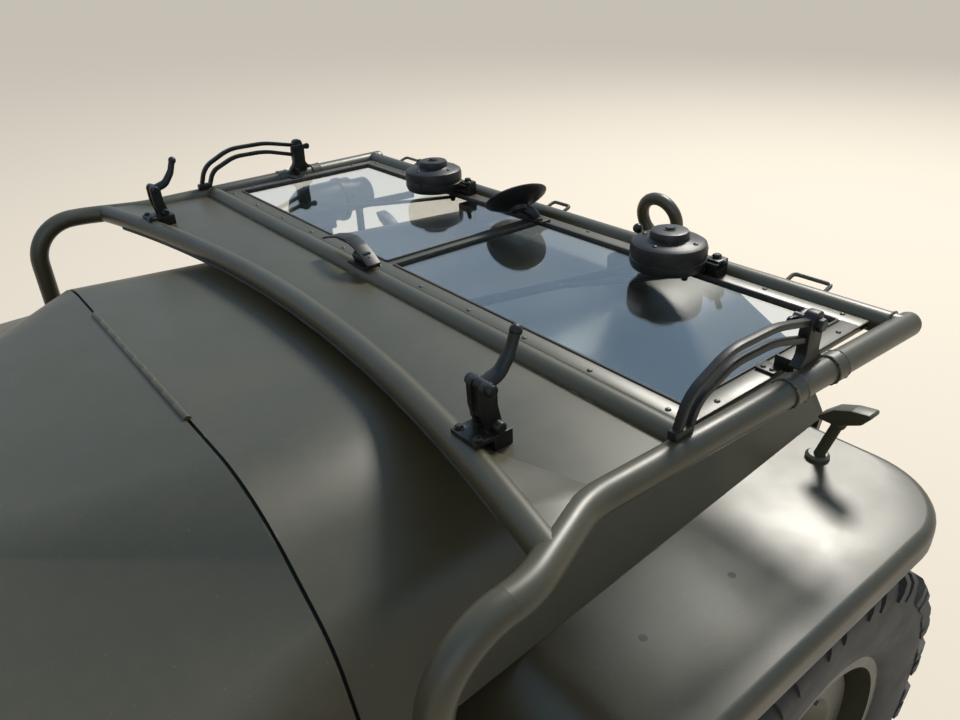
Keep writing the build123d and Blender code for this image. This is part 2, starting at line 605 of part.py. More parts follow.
def fender():
    """Left front fender: flat top, rolled edge, sloping rear and the inner apron."""
    wing = fender_slab(0, 0) - fender_slab(SHEET, SHEET)
    wing -= block((GRILLE_X[0] - 66, FENDER_FRONT_X + 10), (FENDER_Y[0] - 10, LAMP_Y + LAMP_R + 6), (700, 900))
    wing -= block((0, 2000), (0, FENDER_Y[1] - SHEET - 1), (0, FENDER_Z - FENDER_LIP + 1)) & fender_slab(0, 0.0)
    foot_x, foot_z = FENDER_FOOT
    top = [(foot_x, foot_z), (FENDER_BEND_X, FENDER_Z), (FENDER_FRONT_X, FENDER_Z), (FENDER_FRONT_X, FENDER_Z - SHEET)]
    top += [(FENDER_BEND_X, FENDER_Z - SHEET), (foot_x, foot_z - SHEET - 3)]
    skin = side_plate(top, (FENDER_Y[0], FENDER_Y[1] - FENDER_CORNER_R))
    skin -= block((GRILLE_X[0] - 66, FENDER_FRONT_X + 10), (FENDER_Y[0] - 10, LAMP_Y + LAMP_R + 6), (700, 900))
    apron_end = GRILLE_X[0] - 60
    apron = [(foot_x, 560), (foot_x, foot_z), (FENDER_BEND_X, FENDER_Z), (apron_end, FENDER_Z), (apron_end, 560)]
    wall = side_plate(apron, (FENDER_Y[0] - SHEET, FENDER_Y[0]))
    return wing + skin + wall


def lamps():
    """Two headlamps behind the grille and one lamp with its guard on the left fender."""
    head = Pos(GRILLE_X[0] - 20, LAMP_Y, LAMP_Z) * Rot(0, 90, 0) * Cylinder(LAMP_R - SWING_GAP, 50)
    head += Pos(GRILLE_X[0] + 5, LAMP_Y, LAMP_Z) * Rot(0, 90, 0) * Cylinder(LAMP_R - SEAT_GAP, 8)
    return both_sides(head)


def tail_lamps():
    """Two round lamps on the rear panel."""
    lamp = Pos(TUB_REAR - 18, 660, 700) * Rot(0, 90, 0) * Cylinder(38, 36 - SEAT_GAP)
    return both_sides(lamp)


def arch_x(y):
    """Place of the windshield's arched lower tube at a distance from the centre."""
    return WS_ARCH_X - y * y / (2 * WS_ARCH_R)


def windshield_frame():
    """Tubular windshield frame with lower panel, corner gussets and pivot legs, folded flat."""
    points = [(WS_TOP_X + WS_TIP, WS_TOP_Y + 1, WS_Z), (WS_NECK_X, WS_NECK_Y, WS_Z), (WS_FLARE_X, WS_LEG_Y, WS_Z)]
    points += [(PIVOT_X, WS_LEG_Y + 0.5, WS_Z), (PIVOT_X, WS_LEG_Y, PIVOT_Z + 12)]
    side = tube_path(points, [120, 120, WS_BEND_R], WS_TUBE_R)
    eye = rod((PIVOT_X, WS_LEG_Y - EYE_HALF, PIVOT_Z), (PIVOT_X, WS_LEG_Y + EYE_HALF, PIVOT_Z), EYE_BOSS_R)
    frame = both_sides(side + eye)
    frame += rod((WS_TOP_X, -WS_TOP_Y, WS_Z), (WS_TOP_X, WS_TOP_Y, WS_Z), WS_TUBE_R)
    mid_y = WS_NECK_Y + 3
    frame += rod((WS_MID_X, -mid_y, WS_Z), (WS_MID_X, mid_y, WS_Z), WS_TUBE_R)
    end_y = WS_NECK_Y - 2
    arc = ThreePointArc((arch_x(end_y), -end_y, WS_Z), (WS_ARCH_X, 0, WS_Z), (arch_x(end_y), end_y, WS_Z))
    frame += sweep(Plane(origin=arc @ 0, z_dir=arc % 0) * Circle(WS_TUBE_R), path=arc)
    low = WS_Z - SHEET / 2
    ends = [(arch_x(end_y), -end_y, low), (arch_x(end_y), end_y, low)]
    rear_edge = ThreePointArc(ends[0], (WS_ARCH_X, 0, low), ends[1])
    right = (WS_MID_X, -end_y, low)
    left = (WS_MID_X, end_y, low)
    panel = make_face([rear_edge, Line(ends[1], left), Line(left, right), Line(right, ends[0])])
    frame += extrude(panel, amount=SHEET, dir=(0, 0, 1))
    bore = rod((PIVOT_X, WS_LEG_Y - 40, PIVOT_Z), (PIVOT_X, WS_LEG_Y + 40, PIVOT_Z), PIN_R + RUN_GAP)
    return frame - both_sides(bore)


GLASS_X = (WS_MID_X + WS_TUBE_R + 3, WS_TOP_X - WS_TUBE_R - 3)
GLASS_Y = 592.0
GLASS_RIM = 26.0
GLASS_T = 5.0


def glass_frame():
    """Flat glass frame with its centre bar."""
    rim_plate = block(GLASS_X, (-GLASS_Y, GLASS_Y), (WS_Z - 4, WS_Z + 6))
    for sign in (1, -1):
        hole = sorted((sign * 9, sign * (GLASS_Y - GLASS_RIM)))
        rim_plate -= block((GLASS_X[0] + GLASS_RIM, GLASS_X[1] - GLASS_RIM), hole, (WS_Z - 10, WS_Z + 10))
    tab = block((GLASS_X[1] - 20, WS_TOP_X - WS_TUBE_R + 6), (-500, 500), (WS_Z - 4, WS_Z + 2))
    tab -= rod((WS_TOP_X, -700, WS_Z), (WS_TOP_X, 700, WS_Z), WS_TUBE_R)
    return rim_plate + tab


def glass_panes():
    """Two panes inside the glass frame."""
    pane = block(
        (GLASS_X[0] + GLASS_RIM + SEAT_GAP, GLASS_X[1] - GLASS_RIM - SEAT_GAP),
        (9 + SEAT_GAP, GLASS_Y - GLASS_RIM - SEAT_GAP),
        (WS_Z - GLASS_T / 2, WS_Z + GLASS_T / 2),
    )
    return both_sides(pane)


def arm_band(radius, y, thickness):
    """Slim curved arm over the glass frame, as part of a circle in the side plane."""
    start = (SEAM_X + 325, y, WS_Z + 22)
    middle = (SEAM_X + 425, y, WS_Z + 22 + radius)
    end = (SEAM_X + 545, y, WS_Z + 30 + radius * 0.5)
    arc = ThreePointArc(start, middle, end)
    section = Plane(origin=arc @ 0, z_dir=arc % 0) * Rectangle(thickness, thickness)
    return sweep(section, path=arc)


def quadrants():
    """Curved adjusting arms with their brackets on both side tubes."""
    y = WS_NECK_Y - 2
    arm = arm_band(58, y, 8) + arm_band(36, y, 8)
    bracket = block((SEAM_X + 525, SEAM_X + 565), (y - 14, y + 14), (WS_Z + WS_TUBE_R + SEAT_GAP, WS_Z + 76))
    return both_sides(arm + bracket)


def windshield_clamps():
    """Two hold-down hooks on the arched tube and the centre latch on the middle tube."""
    x = SEAM_X + 196
    y = 476
    top = WS_Z + WS_TUBE_R + SEAT_GAP
    hook = block((x - 26, x + 18), (y - 15, y + 15), (top, top + 6))
    hook += block((x - 14, x + 10), (y - 12, y + 12), (top + 5, top + 36))
    hook += rod((x - 2, y, top + 30), (x + 24, y, top + 66), 9)
    hook += rod((x + 24, y, top + 62), (x + 46, y, top + 92), 8)
    latch = block((WS_MID_X - 16, WS_MID_X + 16), (-22, 22), (top, top + 8))
    latch += rod((WS_MID_X, -14, top + 16), (WS_MID_X, 14, top + 16), 10)
    return both_sides(hook) + latch


MOTOR_X = SEAM_X + 662
MOTOR_PLACES = (-318.0, 262.0)


def wipers():
    """Two round wiper motors inside the glass, with arms and blades outside it."""
    group = None
    for y in MOTOR_PLACES:
        motor = Pos(MOTOR_X, y, WS_Z + 36) * Cylinder(48, 42)
        motor += Pos(MOTOR_X, y, WS_Z + 62) * Cylinder(26, 16)
        motor += block((MOTOR_X - 12, GLASS_X[1]), (y - 12, y + 12), (WS_Z + 6 + SEAT_GAP, WS_Z + 22))
        elbow = (MOTOR_X, y + 74, WS_Z + 28)
        motor += rod((MOTOR_X, y + 30, WS_Z + 28), elbow, 5)
        motor += Pos(*elbow) * Sphere(7)
        motor += rod(elbow, (MOTOR_X - 42, y + 76, WS_Z + 40), 5)
        group = motor if group is None else group + motor
    return group


def mirror_piece():
    """Round rear view mirror on a short stem at the top tube."""
    disc = Pos(SEAM_X + 655, 12, WS_Z + 52) * Rot(18, -14, 0) * Cylinder(47, 8)
    stem = rod((SEAM_X + 660, 12, WS_Z + 52), (WS_TOP_X - 8, 4, WS_Z + WS_TUBE_R + 6), 6)
    foot = block((WS_TOP_X - 18, WS_TOP_X + 8), (-14, 20), (WS_Z + WS_TUBE_R + SEAT_GAP, WS_Z + WS_TUBE_R + 10))
    return disc + stem + foot


SEAT_Y = 375.0
SEAT_HALF = 195.0
SEAT_X = (-400.0, 30.0)
SEAT_Z = 690.0
CUSHION_T = 75.0
BACK_LEAN = 14.0
SEAT_TUBE_R = 12.0
SEAT_PIVOT = (16.0, 598.0)


def seat_hinge():
    """Floor ears and pins that the passenger seat tips forward on."""
    ears = None
    for leg_y in seat_legs(-SEAT_Y):
        pair = rod((SEAT_PIVOT[0], leg_y - 20, SEAT_PIVOT[1]), (SEAT_PIVOT[0], leg_y + 20, SEAT_PIVOT[1]), 5)
        foot_z = FLOOR_Z + SHEET - 1
        ear = [(SEAT_PIVOT[0] - 18, foot_z), (SEAT_PIVOT[0] + 18, foot_z)]
        ear += [(SEAT_PIVOT[0] + 10, SEAT_PIVOT[1] + 12), (SEAT_PIVOT[0] - 10, SEAT_PIVOT[1] + 12)]
        for low in (leg_y - SEAT_TUBE_R - SEAT_GAP - 5, leg_y + SEAT_TUBE_R + SEAT_GAP):
            pair += side_plate(ear, (low, low + 5))
        ears = pair if ears is None else ears + pair
    return ears


def seat_legs(y):
    """Side places of the two legs of a front seat."""
    return (y - SEAT_HALF + SEAT_TUBE_R, y + SEAT_HALF - SEAT_TUBE_R)


def seat_frame(y, tips):
    """Tubular seat frame with its pan; its front legs end in eyes if it tips forward."""
    low = FLOOR_Z + SHEET + SEAT_GAP
    front_low = SEAT_PIVOT[1] if tips else low
    frame = block(SEAT_X, (y - SEAT_HALF, y + SEAT_HALF), (SEAT_Z - SHEET, SEAT_Z))
    back_x = SEAT_X[0]
    top = (back_x - 100, 1085)
    for side_y in seat_legs(y):
        frame += rod((back_x + 14, side_y, low), (back_x + 14, side_y, SEAT_Z), SEAT_TUBE_R)
        frame += rod((back_x, side_y, SEAT_Z - 4), (top[0], side_y, top[1]), SEAT_TUBE_R)
        frame += rod((SEAT_PIVOT[0], side_y, front_low), (SEAT_PIVOT[0], side_y, SEAT_Z), SEAT_TUBE_R)
        if tips:
            frame += rod((SEAT_PIVOT[0], side_y - SEAT_TUBE_R, front_low), (SEAT_PIVOT[0], side_y + SEAT_TUBE_R, front_low), 13)
            frame -= rod((SEAT_PIVOT[0], side_y - 30, front_low), (SEAT_PIVOT[0], side_y + 30, front_low), 5 + RUN_GAP)
    frame += rod((top[0], y - SEAT_HALF + SEAT_TUBE_R, top[1]), (top[0], y + SEAT_HALF - SEAT_TUBE_R, top[1]), SEAT_TUBE_R)
    return frame


def seat_cushions(y):
    """Seat cushion and back pad of one seat."""
    gap = SEAT_GAP
    pad = block((SEAT_X[0] + 40, SEAT_X[1]), (y - SEAT_HALF + 2, y + SEAT_HALF - 2), (SEAT_Z + gap, SEAT_Z + CUSHION_T))
    lean = math.degrees(math.atan2(100, 1085 - SEAT_Z))
    back = Box(55, 2 * (SEAT_HALF - 2 * SEAT_TUBE_R - SEAT_GAP), 290)
    place = Pos(SEAT_X[0] - 31.7, y, SEAT_Z + 232) * Rot(0, -lean, 0)
    return pad + place * back


def rear_seat_frame():
    """Wide rear seat frame between the wheel houses."""
    low = FLOOR_Z + SHEET + SEAT_GAP
    half = WELL_Y - SWING_GAP
    frame = block((-1180, -800), (-half, half), (680, 680 + SHEET))
    for y in (-half + 20, half - 20):
        frame += rod((-820, y, low), (-820, y, 680), SEAT_TUBE_R)
        frame += rod((-1160, y, low), (-1160, y, 690), SEAT_TUBE_R)
        frame += rod((-1160, y, 680), (-1240, y, 1010), SEAT_TUBE_R)
    return frame + rod((-1240, -half + 20, 1010), (-1240, half - 20, 1010), SEAT_TUBE_R)


def rear_seat_cushions():
    """Rear seat cushion and back pad."""
    half = WELL_Y - SWING_GAP
    pad = block((-1140, -800), (-half + 2, half - 2), (683 + SEAT_GAP, 683 + CUSHION_T))
    lean = math.degrees(math.atan2(80, 320))
    return pad + Pos(-1187.5, 0, 880) * Rot(0, -lean, 0) * Box(50, 2 * (half - 20 - SEAT_TUBE_R - SEAT_GAP), 230)


def steering_column():
    """Column tube from the steering box on the left rail to just below the wheel."""
    x, z = WHEEL_HUB
    along = Vector(COLUMN_FOOT[0] - x, 0, COLUMN_FOOT[1] - z).normalized()
    top = Vector(x, COLUMN_Y, z) + along * (HUB_T / 2 + SEAT_GAP)
    column = rod((COLUMN_FOOT[0], COLUMN_Y, COLUMN_FOOT[1]), (top.X, top.Y, top.Z), COLUMN_R)
    return column + block((730, 810), (RAIL_Y[1] - 30, COLUMN_Y + 12), (RAIL_Z[1], 640))


def steering_wheel():
    """Three-spoke wheel on its hub."""
    x, z = WHEEL_HUB
    lean = math.degrees(math.atan2(x - COLUMN_FOOT[0], z - COLUMN_FOOT[1]))
    wheel = Torus(STEER_RIM_R, STEER_BAR_R) + Cylinder(28, HUB_T)
    for turn in (90, 210, 330):
        wheel += Rot(0, 0, turn) * rod((20, 0, 0), (STEER_RIM_R, 0, 0), 6)
    return Pos(x, COLUMN_Y, z) * Rot(0, lean, 0) * wheel


def jerrycan():
    """Fuel can on the rear panel with its three grips and cap."""
    x = (TUB_REAR - 175, TUB_REAR - 10)
    y = (CAN_Y - 172, CAN_Y + 172)
    can = fillet(block(x, y, (596 + SEAT_GAP, 1000)).edges(), 18)
    for grip_x in (x[0] + 40, (x[0] + x[1]) / 2, x[1] - 40):
        grip = [(grip_x, CAN_Y - 80, 995), (grip_x, CAN_Y - 80, 1030), (grip_x, CAN_Y + 70, 1030), (grip_x, CAN_Y + 70, 995)]
        can += tube_path(grip, 14, 7)
    return can


def tools():
    """Shovel and axe strapped to the left side."""
    y = BODY_Y + 14 + SEAT_GAP
    shovel = rod((-360, y, 640), (180, y, 640), 14)
    shovel += block((-560, -355), (y - 4, y + 4), (560, 720))
    return shovel


def build_all():
    """Write every piece."""
    save("frame", ladder_frame())
    save("front_bumper", front_bumper())
    save("tow_bar", tow_bar())
    save("springs", springs())
    save("front_axle", front_axle())
    save("rear_axle", rear_axle())
    save("knuckle_left", knuckle())
    save("knuckle_right", other_side(knuckle()))
    save("tie_rod", tie_rod())
    corners = (
        ("front_left", FRONT_AXLE_X, 1),
        ("front_right", FRONT_AXLE_X, -1),
        ("rear_left", REAR_AXLE_X, 1),
        ("rear_right", REAR_AXLE_X, -1),
    )
    for name, axle_x, side in corners:
        save("tyre_" + name, tyre(axle_x, side * WHEEL_Y, TYRE_R))
        save("rim_" + name, rim(axle_x, side * WHEEL_Y, TYRE_R, side))
    spare_x = REAR_END + TYRE_W / 2
    turn = Pos(spare_x, SPARE_Y, SPARE_Z) * Rot(0, 0, 90)
    save("tyre_spare", turn * tyre(0, 0, 0))
    save("rim_spare", turn * rim(0, 0, 0, 1, spare=True))
    save("engine_block", engine_block())
    save("radiator", radiator())
    save("driveline", driveline())
    save("exhaust", exhaust())
    save("floor", floor())
    save("cowl", cowl())
    save("side_left", body_side())
    save("side_right", other_side(body_side()))
    save("rear_panel", rear_panel())
    save("hood", hood())
    save("grille", grille())
    save("fender_left", fender())
    save("fender_right", other_side(fender()))
    save("lamps", lamps())
    save("tail_lamps", tail_lamps())
    save("windshield_frame", windshield_frame())
    save("glass_frame", glass_frame())
    save("glass_panes", glass_panes())
    save("quadrants", quadrants())
    save("windshield_clamps", windshield_clamps())
    save("wipers", wipers())
    save("mirror", mirror_piece())
    save("seat_frames", seat_frame(SEAT_Y, False) + rear_seat_frame())
    save("seat_cushions", seat_cushions(SEAT_Y) + rear_seat_cushions())
    save("passenger_seat_frame", seat_frame(-SEAT_Y, True))
    save("passenger_seat_cushions", seat_cushions(-SEAT_Y))
    save("steering_column", steering_column())
    save("steering_wheel", steering_wheel())
    save("jerrycan", jerrycan())
    save("tools", tools())


build_all()
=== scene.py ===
import json
from math import asin, atan2, cos, degrees, hypot, pi, radians, sin, tan

import bmesh
import bpy
from mathutils import Matrix, Quaternion, Vector
from mathutils.bvhtree import BVHTree


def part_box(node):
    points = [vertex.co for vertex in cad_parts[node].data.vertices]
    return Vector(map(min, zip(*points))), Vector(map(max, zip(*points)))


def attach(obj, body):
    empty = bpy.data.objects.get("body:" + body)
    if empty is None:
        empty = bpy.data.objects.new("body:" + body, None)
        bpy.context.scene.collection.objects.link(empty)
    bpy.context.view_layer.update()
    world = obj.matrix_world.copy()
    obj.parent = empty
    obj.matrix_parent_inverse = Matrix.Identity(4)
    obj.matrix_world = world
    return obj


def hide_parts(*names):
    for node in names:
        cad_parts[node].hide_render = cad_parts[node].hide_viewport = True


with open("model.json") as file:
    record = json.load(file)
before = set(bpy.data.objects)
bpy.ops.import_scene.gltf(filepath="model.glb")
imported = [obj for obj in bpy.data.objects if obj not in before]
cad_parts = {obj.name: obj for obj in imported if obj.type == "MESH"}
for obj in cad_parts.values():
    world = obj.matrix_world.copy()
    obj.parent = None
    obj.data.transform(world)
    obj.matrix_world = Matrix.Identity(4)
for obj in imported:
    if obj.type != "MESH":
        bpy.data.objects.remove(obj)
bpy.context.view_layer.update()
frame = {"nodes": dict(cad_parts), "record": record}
NODES = frame["nodes"]

# Camera: the photograph's place and angle, for a 960 x 720 frame
CAMERA_AT = (0.3385, -0.9735, 1.5139)
CAMERA_RIGHT = (0.7805, -0.6241, -0.0353)
CAMERA_UP = (0.3206, 0.3513, 0.8796)
LENS_MM = 28.74
SENSOR_MM = 36

# Paint colours (linear)
OLIVE = (0.056, 0.052, 0.030)
OLIVE_LIGHT = (0.072, 0.067, 0.041)
OLIVE_DARK = (0.048, 0.045, 0.026)
DUST = (0.22, 0.19, 0.14)
STEEL = (0.26, 0.24, 0.21)
CANVAS = (0.165, 0.160, 0.092)
GROUND = (0.72, 0.67, 0.59)
GROUND_LIT, GROUND_GLOW = 0.46, 0.60

# Surroundings (linear): horizon, upper sky, and the even light that falls on the object
HORIZON = (0.64, 0.60, 0.54)
SKY = (0.42, 0.68, 1)
SOFT_LIGHT = (0.43, 0.43, 0.42)
WORLD_STRENGTH = 0.9
LAMPS = (
    ("key", (6.4, 1.6, 6.6), 1.8, 820, (1, 0.95, 0.86)),
    ("fill", (-4, -4.5, 4), 5, 60, (0.90, 0.95, 1)),
)
AIM = (0.4, 0, 0.8)

MM = 0.001
LEFT = Matrix.Identity(4)
RIGHT = Matrix.Scale(-1, 4, (0, 1, 0))
SIDES = LEFT, RIGHT
AXES = {"x": (1, 0, 0), "y": (0, 1, 0), "z": (0, 0, 1)}

# Windshield, in millimetres
PIVOT_X, PIVOT_Z = 530, 830
TUBE_Z, TUBE_R = 1080, 16
CREST = TUBE_Z + TUBE_R
TOP_X, MID_X = 1268, 872
LEG_Y, CORNER_Y, CORNER_X = 650, 608, 730
ARCH_X, ARCH_CURVE, ARCH_Y = 747, 4860, 606
SASH_X, SASH_Y, SASH_Z, SASH_RIM = (891, 1249), 592, (1076, 1086), 26
BRACKET_Z = 1086.2
QUADRANT_Y, CLAMP_Y = 607, 476
MOTORS = ((262, 331, 357), (-318, -245, -183))
MOTOR_X, SHAFT_X = 1192, 1236

# Hood and cowl: half sections as (side, height) corners, at three places along the car
SEAM_X, SEAM_GAP, COWL_X, NOSE_X = 525, 4, 250, 1369.7
FENDER_Z, FLOOR_Z = 845, 560
SECTION_BENDS = (260, 120)
SEAM_SECTION = ((0, 1058), (360, 1058), (500, 960), (552, 845.3))
NOSE_SECTION = ((0, 1026), (290, 1025), (444, 937), (500, 845.3))
DASH_SECTION = ((0, 1014), (165, 1013), (560, 952), (616, 845.3))
GAUGE_Z, GAUGES = 962, ((0, 48), (105, 30), (-105, 30), (175, 24))

# Tyres: outer radius and one side's lugs; wheels by name, centre and side
TYRE_R, LUGS, NUT_CIRCLE = 367, 20, 68
WHEELS = (
    ("front_left", (1150, 622.5, 367), 1),
    ("front_right", (1150, -622.5, 367), -1),
    ("rear_left", (-882, 622.5, 367), 1),
    ("rear_right", (-882, -622.5, 367), -1),
)

# Stuffed pads, in metres
PAD_CORNER, PAD_VOXEL, SWELL_CAP = 0.018, 0.006, 0.010
PAD_PRESSURE, PAD_FRAMES = 4, 20


def rounded(points, bends, closed=False, steps=7):
    """The points of a line or loop with its corners turned into arcs."""
    points = [Vector(p).to_3d() for p in points]
    inner = len(points) if closed else len(points) - 2
    if not hasattr(bends, "__len__"):
        bends = [bends] * inner
    out = [] if closed else [points[0]]
    for i in range(inner):
        k = i if closed else i + 1
        a, b, c = points[k - 1], points[k], points[(k + 1) % len(points)]
        u, v = (a - b).normalized(), (c - b).normalized()
        angle = u.angle(v)
        if bends[i] <= 0 or angle > pi - 0.002:
            out.append(b)
            continue
        centre = b + (u + v).normalized() * (bends[i] / sin(angle / 2))
        start = b + u * (bends[i] / tan(angle / 2)) - centre
        end = b + v * (bends[i] / tan(angle / 2)) - centre
        axis = start.cross(end).normalized()
        for step in range(steps + 1):
            out.append(centre + Quaternion(axis, (pi - angle) * step / steps) @ start)
    return out if closed else out + [points[-1]]


def circle(radius, sides=20):
    turns = [2 * pi * i / sides for i in range(sides)]
    return [(radius * cos(t), radius * sin(t)) for t in turns]


def rectangle(width, height, corner=1.2):
    w, h = width / 2, height / 2
    loop = rounded([(-w, -h), (w, -h), (w, h), (-w, h)], corner, True, 2)
    return [(p.x, p.y) for p in loop]


def raised(points, y=None):
    """(length, height) pairs taken from the pivot and the tubes' height, at a side place if one is given."""
    pairs = [(PIVOT_X + x, TUBE_Z + z) for x, z in points]
    return pairs if y is None else [(x, y, z) for x, z in pairs]


class Shape:
    """Collects the faces of one piece of a body. Its lengths are in millimetres."""

    def __init__(self, body="chassis"):
        self.bm = bmesh.new()
        self.body = body
        self.place = LEFT

    def point(self, p):
        return self.bm.verts.new((self.place @ Vector(p)) * MM)

    def grid(self, rows, around=False, loop=False, caps=False):
        """Quads between rows of points; around closes each row, loop joins the last row to the first."""
        made = [[self.point(p) for p in row] for row in rows]
        count = len(made[0])
        for i in range(len(made) if loop else len(made) - 1):
            a, b = made[i], made[(i + 1) % len(made)]
            for j in range(count if around else count - 1):
                k = (j + 1) % count
                self.bm.faces.new((a[j], a[k], b[k], b[j]))
        if caps:
            self.bm.faces.new(made[0])
            self.bm.faces.new(made[-1])

    def sweep(self, path, section, side=None, dome=(0, 0)):
        """Carry a (side, height) section along a path, with domed ends where dome is over zero."""
        path = [Vector(p) for p in path]
        half = max(hypot(*p) for p in section)
        stations = [(p, 1) for p in path]
        for which, out in ((0, path[0] - path[1]), (1, path[-1] - path[-2])):
            extra = []
            for a in map(radians, (30, 55, 75, 88) if dome[which] else ()):
                bulge = out.normalized() * dome[which] * sin(a)
                shrink = 1 - dome[which] / half * (1 - cos(a))
                extra.append((path[-which] + bulge, shrink))
            stations = stations + extra if which else extra[::-1] + stations
        rows = []
        across = Vector(side) if side else (path[1] - path[0]).orthogonal()
        for i, (p, scale) in enumerate(stations):
            along = stations[min(i + 1, len(stations) - 1)][0] - stations[max(i - 1, 0)][0]
            along.normalize()
            across = (across - along * across.dot(along)).normalized()
            up = along.cross(across)
            rows.append([p + (across * u + up * v) * scale for u, v in section])
        self.grid(rows, around=True, caps=True)

    def tube(self, points, radius, bends=0, sides=20, dome=(0, 0)):
        self.sweep(rounded(points, bends) if bends else points, circle(radius, sides), None, dome)

    def lathe(self, profile, at, axis="z", sides=40, closed=False):
        """Turn (radius, height) points about an axis through a place."""
        along = Vector(AXES[axis] if isinstance(axis, str) else axis)
        turn = Vector((0, 0, 1)).rotation_difference(along)
        rows = []
        for c, s in circle(1, sides):
            rows.append([Vector(at) + turn @ Vector((r * c, r * s, h)) for r, h in profile])
        self.grid(rows, around=closed, loop=True)

    def ball(self, at, radius):
        turns = [pi * i / 10 for i in range(11)]
        self.lathe([(radius * sin(t), -radius * cos(t)) for t in turns], at, "z", 20)

    def nut(self, at, axis, width, height):
        """Hexagon head on a washer."""
        half = width / 2
        self.lathe([(0, height), (half * 0.8, height), (half, height - 1.5), (half, 1), (0, 1)], at, axis, 6)
        self.lathe([(0, 1.5), (half * 1.25, 1.5), (half * 1.25, 0), (0, 0)], at, axis, 16)

    def screw(self, at, axis, radius):
        self.lathe([(0, 2.4), (radius * 0.55, 2.1), (radius * 0.9, 1.1), (radius, 0)], at, axis, 14)

    def round_off(self, edges, width):
        if width:
            bmesh.ops.bevel(self.bm, geom=edges, offset=width * MM, segments=2, profile=0.6,
                            affect="EDGES", clamp_overlap=True)

    def box(self, x, y, z, edge):
        """Box from a (low, high) pair on each axis, its edges rounded."""
        size = [b - a for a, b in (x, y, z)]
        middle = [(a + b) / 2 for a, b in (x, y, z)]
        made = bmesh.ops.create_cube(self.bm, size=1)["verts"]
        for v in made:
            v.co = (self.place @ Vector([m + c * s for m, c, s in zip(middle, v.co, size)])) * MM
        bmesh.ops.recalc_face_normals(self.bm, faces=list({f for v in made for f in v.link_faces}))
        self.round_off(list({e for v in made for e in v.link_edges}), edge)

    def prism(self, points, axis, span, bends=0, edge=0):
        """Closed outline extruded between two places on an axis, its two rims rounded."""
        loop = rounded(points, bends, True) if bends else [Vector(p).to_3d() for p in points]
        cut = "xyz".index(axis)
        low, high = [[self.point((*p[:cut], t, *p[cut:2])) for p in loop] for t in span]
        count = len(loop)
        walls = []
        for i in range(count):
            k = (i + 1) % count
            walls.append(self.bm.faces.new((low[i], low[k], high[k], high[i])))
        ends = [self.bm.faces.new(ring) for ring in (low, high)]
        bmesh.ops.recalc_face_normals(self.bm, faces=walls + ends)
        self.round_off([e for face in ends for e in face.edges], edge)

    def hoop(self, path, sections):
        """Carry (side, height) sections round a closed path, one for each of its places."""
        path = [Vector(p) for p in path]
        rows = []
        for i, p in enumerate(path):
            along = (path[(i + 1) % len(path)] - path[i - 1]).normalized()
            across = along.orthogonal().normalized()
            up = along.cross(across)
            rows.append([p + across * u + up * v for u, v in sections[i]])
        self.grid(rows, around=True, loop=True)

    def weld(self, path, radius):
        """Lumpy weld bead round a closed path."""
        sizes = [radius * (1 + 0.28 * sin(i * 2.1)) for i in range(len(path))]
        turns = (0, 1.05, 2.09, 3.14, 4.19, 5.24)
        self.hoop(path, [[(size * cos(t), size * sin(t)) for t in turns] for size in sizes])

    def piece(self, name, replaces="", slot="olive_paint", limit=34, thick=0):
        """Turn what was collected into an object that rides on the body."""
        bmesh.ops.remove_doubles(self.bm, verts=self.bm.verts, dist=0.00002)
        bmesh.ops.dissolve_degenerate(self.bm, edges=self.bm.edges, dist=0.00001)
        bmesh.ops.recalc_face_normals(self.bm, faces=self.bm.faces)
        obj = placed(name, to_mesh(self.bm, name))
        if thick:
            solid = obj.modifiers.new("sheet", "SOLIDIFY")
            solid.thickness = thick * MM
            solid.offset = -1
            settle(obj)
        return dress(obj, self.body, slot, replaces, limit)


def to_mesh(bm, name):
    mesh = bpy.data.meshes.new(name)
    bm.to_mesh(mesh)
    bm.free()
    return mesh


def placed(name, data):
    """New object in the scene."""
    obj = bpy.data.objects.new(name, data)
    bpy.context.scene.collection.objects.link(obj)
    return obj


def dress(obj, body, slot, replaces, limit):
    """Smooth an object, give it its material and put it on its body."""
    sharpen(obj.data, limit)
    obj.data.materials.append(MATERIALS[slot])
    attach(obj, body)
    if replaces:
        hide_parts(replaces)
    return obj


def settle(obj):
    """Apply an object's modifiers to its mesh."""
    graph = bpy.context.evaluated_depsgraph_get()
    mesh = bpy.data.meshes.new_from_object(obj.evaluated_get(graph), depsgraph=graph)
    obj.modifiers.clear()
    obj.data = mesh


def sharpen(mesh, limit):
    """Smooth faces, with edges over the limit kept sharp."""
    bm = bmesh.new()
    bm.from_mesh(mesh)
    for face in bm.faces:
        face.smooth = True
    for edge in bm.edges:
        if len(edge.link_faces) != 2 or edge.calc_face_angle(0) > radians(limit):
            edge.smooth = False
    bm.to_mesh(mesh)
    bm.free()


